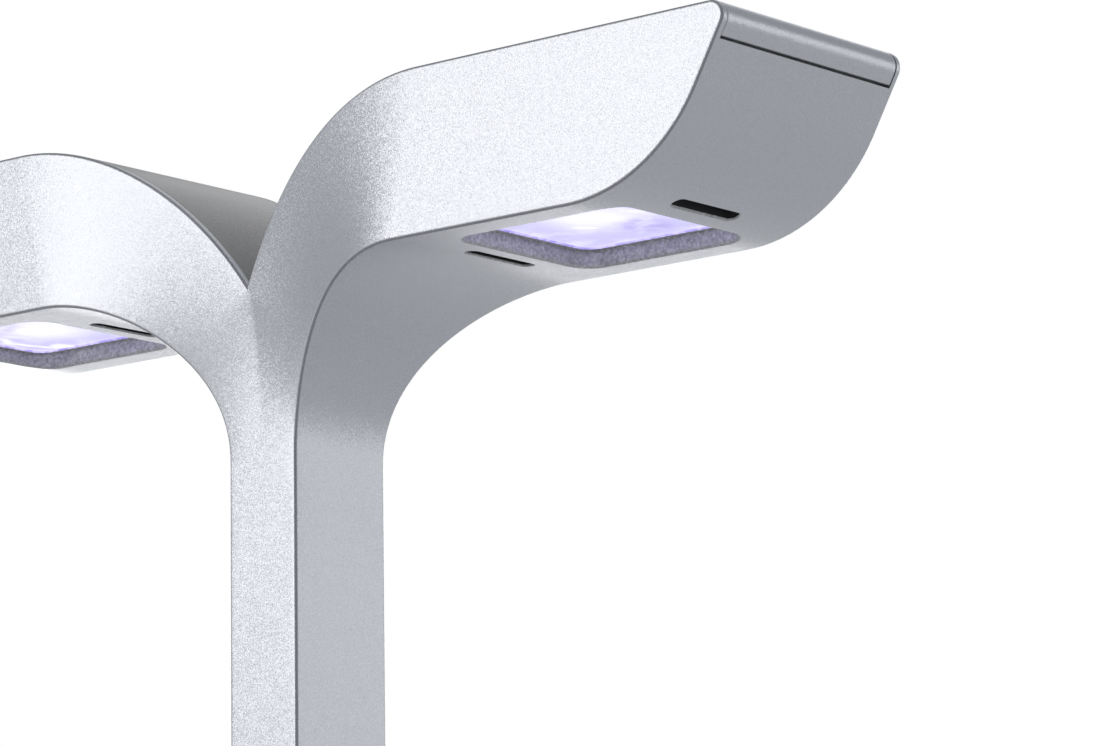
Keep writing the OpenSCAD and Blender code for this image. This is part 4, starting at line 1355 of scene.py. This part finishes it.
    def mouth(self, outline: Callable[[float], list[Point]], at_x: float, edge: float,
              depth: float) -> Solid:
        """Points and faces of a cutter that leaves a rounded edge round its mouth.

        Args:
            outline: gives the cutter's outline, grown by a distance.
            at_x: where its centre goes along the arm.
            edge: radius of the rounded edge.
            depth: height of its top above the underside's level part.

        Returns:
            The points and the faces.
        """
        s, first = self.shape, self.MOUTH_FIRST
        turns = [first + (QUARTER - first) * i / self.MOUTH_STEPS
                 for i in range(self.MOUTH_STEPS + 1)]
        rings = [(edge * (1 - math.sin(t)), edge * (1 - math.cos(t))) for t in turns]
        rings.insert(0, (rings[0][0] + math.cos(first), rings[0][1] - math.sin(first)))
        points = [(at_x + x, y, s.under_z - self.MOUTH_DROP) for x, y in outline(rings[0][0])]
        for wider, rise in rings:
            points += [(at_x + x, y, s.under(at_x + x) + rise) for x, y in outline(wider)]
        points += [(at_x + x, y, s.under_z + depth) for x, y in outline(0.0)]
        n, layers = len(outline(0.0)), len(rings) + 2
        faces = [[*range(n)][::-1], [*range((layers - 1) * n, layers * n)]]
        for k in range(layers - 1):
            faces += [[k * n + i, k * n + (i + 1) % n, (k + 1) * n + (i + 1) % n, (k + 1) * n + i]
                      for i in range(n)]
        return points, faces

    def shaft(self, outline: list[Point], at_x: float, rise: float, top: float) -> Solid:
        """Points and faces of an upright cutter whose lower end follows the underside.

        Args:
            outline: its outline.
            at_x: where its centre goes along the arm.
            rise: how far above the underside it starts.
            top: height of its upper end.

        Returns:
            The points and the faces.
        """
        points, faces = prism(outline, 0.0, top, at_x)
        n = len(outline)
        foot = [(x, y, self.shape.under(x) + rise) for x, y, _ in points[:n]]
        return foot + points[n:], faces

    def cuts(self) -> list[list[tuple[Solid, str]]]:
        """Gives what is cut out of an arm.

        Returns:
            Lists of parts that don't meet, each part with its finish, in the order of cutting.
        """
        s, past = self.shape, self.PAST
        seat = s.under_z + s.window_depth
        flange = rounded_rectangle(s.window_l - 2 * s.lip, s.window_w - 2 * s.lip,
                                   s.window_r - s.lip)
        room = rounded_rectangle(s.room_l, s.window_w + 2, 4.0)

        def window(wider: float) -> list[Point]:
            """Outline of the window recess, grown by a distance."""
            return rounded_rectangle(s.window_l + 2 * wider, s.window_w + 2 * wider,
                                     s.window_r + wider)

        def slot(wider: float) -> list[Point]:
            """Outline of an air slot, grown by a distance."""
            return rounded_rectangle(s.slot_w + 2 * wider, s.slot_l + 2 * wider,
                                     s.slot_w / 2 - 0.01 + wider, 6)

        # The channel's walls take the darker silver copy: painted shade along the rails.
        channel = self.strip(-s.channel_rise, s.cover_t + s.channel_room, s.rail_w,
                             s.cover_end - s.channel_end, s.channel_start)
        skin = [(self.mouth(window, s.window_x, self.mouth_edge, s.window_depth), "recess_grey"),
                (channel, "silver_edge")]
        slots = [s.window_x + x * s.slot_x for x in (-1, 1)]
        for x in slots:
            depth = 1.2 + s.under(x + 2) - s.under_z
            skin.append((self.mouth(slot, x, self.slot_edge, depth), "recess_grey"))
        return [skin,
                [(prism(flange, seat - past, seat + 1.0, s.window_x), "recess_grey")]
                + [(self.shaft(slot(0.3), x, 0.6, seat + 0.6), "dark_room") for x in slots],
                [(prism(room, seat + past, s.top_z - 1, s.window_x), "dark_room")]]

    def carve(self, body: bpy.types.Object, parts: list[tuple[Solid, str]], side: Side) -> None:
        """Cuts parts out of one arm.

        Args:
            body: the housing.
            parts: points and faces of each part on the right arm, with its finish.
            side: the arm.
        """
        pieces = [put_mesh("cutter", turned(points, side), faces, self.frame.palette[finish])
                  for (points, faces), finish in parts]
        with bpy.context.temp_override(active_object=pieces[0], selected_editable_objects=pieces):
            bpy.ops.object.join()
        cut = body.modifiers.new("cuts", "BOOLEAN")
        cut.operation = "DIFFERENCE"
        cut.solver = "EXACT"
        cut.material_mode = "TRANSFER"
        cut.object = pieces[0]
        settle(body)
        bpy.data.objects.remove(pieces[0])

    def strip(self, high: float, low: float, margin: float, end_z: float,
              start_x: float) -> Solid:
        """Points and faces of a strip of an arm's skin, from the crotch to below the nose.

        Args:
            high: inset of its outer face.
            low: inset of its inner face.
            margin: how far its edges stay from the arm's sides.
            end_z: height where it ends.
            start_x: where it starts, measured from the crotch.

        Returns:
            The points and the faces.
        """
        outer = self.shape.top_path(high, end_z)
        inner = self.shape.top_path(low, end_z)
        points = []
        for (ox, oz, w), (ix, iz, _) in zip(outer, inner):
            half = w - margin
            points += [(ox, -half, oz), (ox, half, oz), (ix, half, iz), (ix, -half, iz)]
        points[:4] = [(start_x, y, z) for _, y, z in points[:4]]
        n = len(outer)
        faces = [[3, 2, 1, 0], [4 * n - 4, 4 * n - 3, 4 * n - 2, 4 * n - 1]]
        for i in range(n - 1):
            p, q = 4 * i, 4 * i + 4
            faces += [[p + k, p + (k + 1) % 4, q + (k + 1) % 4, q + k] for k in range(4)]
        return points, faces

    def cover(self, side: Side) -> None:
        """Makes one top cover.

        Args:
            side: its arm.
        """
        s = self.shape
        palette = self.frame.palette
        points, faces = self.strip(0.0, s.cover_t, s.rail_w + s.seam, s.cover_end, s.seam / 2)
        # Faces past silver_from keep the plain silver; the rest of the cover takes the darker copy,
        # painted shade on its top.
        marks = [int(min(points[i][0] for i in face) > s.silver_from) for face in faces]
        piece = put_mesh(f"cover_{side.label}", turned(points, side), faces,
                         palette["cover_grey"], palette["silver_shell"], marks=marks)
        soften(piece, self.cover_edge, angle=40.0)
        self.frame.adopt(piece, f"top_cover_{side.label}")

    def window(self, side: Side) -> None:
        """Makes the lit plate of one window, and the bead with small clips round it.

        Args:
            side: its arm.
        """
        s, palette = self.shape, self.frame.palette
        turn = 0.0 if side is Side.RIGHT else math.pi
        name = f"window_glow_{side.label}"
        glow = WindowGlow(name, s.window_x * MM, turn).build(palette.effects)
        low = s.under_z + s.window_depth + s.plate_gap
        inward = 2 * s.lip + 2 * s.plate_seam
        length, width, radius = s.window_l - inward, s.window_w - inward, s.window_r - s.lip
        points, faces = prism(rounded_rectangle(length, width, radius), low, low + s.plate_t,
                              s.window_x)
        piece = put_mesh(f"window_plate_{side.label}", turned(points, side), faces, glow)
        soften(piece, self.plate_edge, angle=40.0)
        self.frame.adopt(piece, f"lens_{side.label}")
        # The bead and its clips are real clear parts; their glow is painted light.
        bead = grow(f"window_bead_{side.label}", self.bead, {
            "Length": (length - 2 * s.bead_in) * MM, "Width": (width - 2 * s.bead_in) * MM,
            "Corner": (radius - s.bead_in) * MM, "Bead": s.bead_r * MM,
            "Pitch": s.bead_pitch * MM, "Clip": s.bead_clip * MM,
            "Finish": palette["bead_violet"],
            "Place": (side.value * s.window_x * MM, 0.0, (low - 0.05) * MM)})
        self.frame.attach(bead, f"lens_{side.label}")

    def bead_tree(self) -> bpy.types.NodeTree:
        """Builds the tree for the bead round a window plate, with its row of small clips.

        Returns:
            The tree.
        """
        tree, n, given = geometry_tree("window_bead", [
            ("Length", "Float"), ("Width", "Float"), ("Corner", "Float"), ("Bead", "Float"),
            ("Pitch", "Float"), ("Clip", "Float"), ("Place", "Vector")])
        border = n.add("GeometryNodeCurvePrimitiveQuadrilateral", {
            "Width": given["Length"], "Height": given["Width"]}).outputs[0]
        border = n.add("GeometryNodeFilletCurve", {
            "Curve": border, "Radius": given["Corner"], "Count": 6}, mode="POLY").outputs[0]
        path = n.add("GeometryNodeTransform", {
            "Geometry": border, "Translation": given["Place"]}).outputs[0]
        ring = n.add("GeometryNodeCurvePrimitiveCircle", {"Resolution": 8,
                                                          "Radius": given["Bead"]})
        tube = n.add("GeometryNodeCurveToMesh", {"Curve": path, "Profile Curve": ring.outputs[0]})
        places = n.add("GeometryNodeResampleCurve", {"Curve": path, "Length": given["Pitch"]},
                       mode="LENGTH").outputs[0]
        thick = n.times(given["Bead"], self.CLIP_THICK)
        size = n.add("ShaderNodeCombineXYZ", {0: given["Clip"], 1: thick, 2: thick}).outputs[0]
        along = n.add("FunctionNodeAlignRotationToVector", {
            "Vector": n.add("GeometryNodeInputTangent").outputs[0]}, axis="X").outputs[0]
        clips = n.add("GeometryNodeInstanceOnPoints", {
            "Points": places, "Rotation": along,
            "Instance": n.add("GeometryNodeMeshCube", {"Size": size}).outputs[0]})
        end_tree(n, given, [tube.outputs[0], clips.outputs[0]])
        return tree


# ---------------------------------------------------------------- the base and what it carries


@dataclass
class Base:
    """The base: shell, bottom plate, feet, screws, tank, guide, inlet and controls."""

    frame: Frame
    shell_edge: float = 0.5
    plate_edge: float = 0.4
    inlet_edge: float = 0.2
    key_edge: float = 0.5
    key_steps: int = 3

    def build(self) -> None:
        """Dresses the base."""
        for node in ("housing_front", "housing_rear", "housing_end_right", "housing_end_left"):
            self.frame.rounded(node, self.shell_edge)
        for node in ("bottom_plate", "water_tank"):
            self.frame.rounded(node, self.plate_edge)
        self.frame.rounded("post_guide", self.shell_edge)
        self.frame.rounded("control_bezel", self.plate_edge)
        self.frame.rounded("power_inlet", self.inlet_edge)
        for node in ("light_button", "pump_button"):
            self.frame.rounded(node, self.key_edge, self.key_steps)
        self.frame.dress("rubber_feet", "base_screws", "status_lights", "control_board")


@dataclass
class WaterWorks:
    """The pump and the level float in the tank."""

    frame: Frame
    pump_edge: float = 0.5
    cage_edge: float = 0.3
    float_edge: float = 0.4

    def build(self) -> None:
        """Dresses the pump and the float."""
        self.frame.rounded("pump_housing", self.pump_edge)
        self.frame.rounded("float_cage", self.cage_edge)
        self.frame.rounded("level_float", self.float_edge)
        self.frame.dress("pump_inlet_cover", "pump_impeller", "pump_shaft", "pump_outlet_tube",
                         "pump_pads")


@dataclass
class Deck:
    """The planting deck with its flap and the six pods; lengths in millimetres."""

    frame: Frame
    pods: int = 6
    deck_edge: float = 0.5
    cup_edge: float = 0.25
    cover_edge: float = 0.3
    plug_grid: float = 1.1
    plug_inset: float = 0.35
    plug_depth: float = 0.6
    fibre_density: float = 3.2e5
    fibre_length: float = 1.7
    fibre_radius: float = 0.06
    fibres: bpy.types.NodeTree = field(init=False)

    # Lumps and crumbs of a plug's surface: features a metre, and how much each counts.
    LUMPS, CRUMBS = (420.0, 0.8), (1100.0, 0.2)
    # How level a face is that fibres stand on, and their smallest and largest scale.
    LEVEL = 0.6
    SCALES = (0.45, 1.15)

    def __post_init__(self) -> None:
        """Builds the tree of the fibres."""
        self.fibres = self.fibre_tree()

    def build(self) -> None:
        """Dresses the deck and the pods."""
        self.frame.rounded("planting_deck", self.deck_edge)
        self.frame.rounded("fill_flap", self.deck_edge)
        self.frame.dress("flap_pin")
        for i in range(1, self.pods + 1):
            self.frame.rounded(f"net_cup_{i}", self.cup_edge)
            self.frame.rounded(f"pod_cover_{i}", self.cover_edge)
            self.plug(i)

    def fibre_tree(self) -> bpy.types.NodeTree:
        """Builds the tree that stands loose fibres on the level faces of a plug.

        Returns:
            The tree.
        """
        tree, n, given = geometry_tree("plug_fibres", [
            ("Density", "Float"), ("Length", "Float"), ("Thickness", "Float"), ("Seed", "Int")])
        long = given["Length"]
        normal = n.add("GeometryNodeInputNormal").outputs[0]
        up = n.add("ShaderNodeSeparateXYZ", {0: normal}).outputs[2]
        spots = n.add("GeometryNodeDistributePointsOnFaces", {
            "Mesh": given["Geometry"], "Selection": n.math("GREATER_THAN", up, self.LEVEL),
            "Density": given["Density"], "Seed": given["Seed"]}).outputs[0]
        bend = n.add("ShaderNodeCombineXYZ", {0: n.times(long, 0.2), 2: n.times(long, 0.5)})
        tip = n.add("ShaderNodeCombineXYZ", {0: n.times(long, 0.75), 2: n.times(long, 0.35)})
        line = n.add("GeometryNodeCurveQuadraticBezier", {
            "Resolution": 4, "Start": (0.0, 0.0, -0.3 * MM), "Middle": bend.outputs[0],
            "End": tip.outputs[0]}).outputs[0]
        ring = n.add("GeometryNodeCurvePrimitiveCircle", {"Resolution": 3,
                                                          "Radius": given["Thickness"]})
        fibre = n.add("GeometryNodeCurveToMesh", {
            "Curve": line, "Profile Curve": ring.outputs[0], "Fill Caps": True}).outputs[0]
        turn = n.add("FunctionNodeRandomValue", {
            0: (-0.5, -0.5, 0.0), 1: (0.5, 0.5, 6.283), "Seed": given["Seed"]},
            data_type="FLOAT_VECTOR").outputs[0]
        size = n.add("FunctionNodeRandomValue", {
            2: self.SCALES[0], 3: self.SCALES[1], "Seed": given["Seed"]},
            data_type="FLOAT").outputs[1]
        fibres = n.add("GeometryNodeInstanceOnPoints", {
            "Points": spots, "Instance": fibre, "Rotation": turn, "Scale": size}).outputs[0]
        end_tree(n, given, [given["Geometry"], fibres])
        return tree

    def plug(self, index: int) -> None:
        """Makes one growth plug: a rough body of pressed fibre, with loose fibres on its top.

        Args:
            index: the pod's number.
        """
        node = f"growth_plug_{index}"
        body = stand("plug_body", self.frame.welded(node))
        even = body.modifiers.new("even", "REMESH")
        even.mode = "VOXEL"
        even.voxel_size = self.plug_grid * MM
        settle(body)
        (lumps, lumps_share), (crumbs, crumbs_share) = self.LUMPS, self.CRUMBS
        normals = [v.normal.copy() for v in body.data.vertices]
        for vertex, normal in zip(body.data.vertices, normals):
            rough = (abs(noise.noise(vertex.co * lumps)) * lumps_share
                     + noise.noise(vertex.co * crumbs) * crumbs_share)
            vertex.co -= normal * (self.plug_inset + self.plug_depth * rough) * MM
        body.data.update()
        piece = grow(f"{node}_fibre", self.fibres, {
            "Density": self.fibre_density, "Length": self.fibre_length * MM,
            "Thickness": self.fibre_radius * MM, "Seed": index,
            "Finish": self.frame.palette["plug_fibre"]}, body.data)
        bpy.data.objects.remove(body)
        for face in piece.data.polygons:
            face.use_smooth = True
        self.frame.adopt(piece, node)


# ---------------------------------------------------------------- studio


@dataclass(frozen=True)
class Softbox:
    """A rectangular lamp that faces a point of the object; lengths in metres."""

    name: str
    place: Xyz
    target: Xyz
    size: tuple[float, float]
    power: float

    def build(self) -> None:
        """Makes the lamp."""
        data = bpy.data.lights.new(self.name, "AREA")
        data.shape = "RECTANGLE"
        data.size, data.size_y = self.size
        data.energy = self.power
        lamp = bpy.data.objects.new(self.name, data)
        lamp.location = self.place
        towards = Vector(self.target) - Vector(self.place)
        lamp.rotation_mode = "QUATERNION"
        lamp.rotation_quaternion = towards.to_track_quat("-Z", "Y")
        bpy.context.scene.collection.objects.link(lamp)


class Studio:
    """Camera, lamps, world and floor."""

    # Where the photograph was taken from, in metres, and how its camera was turned.
    CAMERA_PLACE = (0.9397, -1.0122, 0.0307)
    CAMERA_RIGHT = (0.7658, 0.6430, -0.0152)
    CAMERA_UP = (0.1294, -0.1308, 0.9829)
    FOCAL_PIXELS, IMAGE_WIDTH, SENSOR = 4824.4, 1113, 36.0
    CLIP = (0.05, 30.0)
    SKY, WHITE = (0.345, 0.36, 0.39), (1.0, 1.0, 1.0)
    FLOOR_HALF, FLOOR_GREY, FLOOR_ROUGH = 4000, 0.86, 0.7
    LAMPS = [
        Softbox("front_left_softbox", (-0.9, -2.25, 0.92), (0.0, 0.0, 0.3), (2.6, 1.5), 20.0),
        Softbox("overhead_softbox", (0.2, 0.2, 2.0), (0.0, 0.0, 0.2), (1.4, 1.4), 3.3),
        Softbox("back_fill", (-1.35, 1.75, 0.36), (0.0, 0.0, 0.3), (2.4, 0.8), 13.0),
        Softbox("back_right_low", (1.45, 1.75, 0.58), (0.0, 0.0, 0.3), (1.6, 1.0), 3.6),
        Softbox("back_high", (-0.75, 1.45, 1.35), (0.0, 0.0, 0.33), (0.9, 0.7), 1.3),
    ]

    def build(self) -> None:
        """Builds the studio."""
        self.camera()
        for lamp in self.LAMPS:
            lamp.build()
        self.world()
        self.floor()
        bpy.context.scene.view_settings.view_transform = "Standard"

    def camera(self) -> None:
        """Puts the camera where the photograph was taken from."""
        data = bpy.data.cameras.new("camera")
        data.sensor_fit = "HORIZONTAL"
        data.sensor_width = self.SENSOR
        data.lens = self.SENSOR * self.FOCAL_PIXELS / self.IMAGE_WIDTH
        data.clip_start, data.clip_end = self.CLIP
        camera = bpy.data.objects.new("camera", data)
        right = Vector(self.CAMERA_RIGHT).normalized()
        back = right.cross(Vector(self.CAMERA_UP)).normalized()
        up = back.cross(right)
        turn = Matrix((right, up, back)).transposed().to_4x4()
        camera.matrix_world = Matrix.Translation(self.CAMERA_PLACE) @ turn
        bpy.context.scene.collection.objects.link(camera)
        bpy.context.scene.camera = camera

    def world(self) -> None:
        """Lights the object evenly, and shows the camera a white background."""
        world = bpy.data.worlds.new("studio")
        bpy.context.scene.world = world
        world.use_nodes = True
        n = Nodes(world.node_tree)
        background = world.node_tree.nodes["Background"]
        rays = n.add("ShaderNodeLightPath")
        seen = n.math("MAXIMUM", rays.outputs["Is Camera Ray"], rays.outputs["Is Transmission Ray"])
        n.feed(background, {"Color": n.mix(seen, self.SKY, self.WHITE)})

    def floor(self) -> None:
        """Lays a plain pale floor."""
        material, n, shader = new_material("floor_pale")
        grey = self.FLOOR_GREY
        n.feed(shader, {"Base Color": (grey, grey, grey, 1.0), "Roughness": self.FLOOR_ROUGH})
        half = self.FLOOR_HALF
        corners = [(-half, -half, 0), (half, -half, 0), (half, half, 0), (-half, half, 0)]
        put_mesh("floor", corners, [[0, 1, 2, 3]], material)


def main() -> None:
    """Builds the garden and its studio."""
    logging.basicConfig(level=logging.INFO, format="%(name)s: %(message)s")
    palette = Palette()
    frame = Frame(palette)
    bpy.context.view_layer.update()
    Studio().build()
    steps: list[tuple[str, Callable[[], None]]] = [
        ("lamp", Lamp(frame).build), ("base", Base(frame).build),
        ("water works", WaterWorks(frame).build), ("deck", Deck(frame).build)]
    for label, build in steps:
        build()
        LOG.info("%s done", label)


if __name__ == "__main__":
    main()
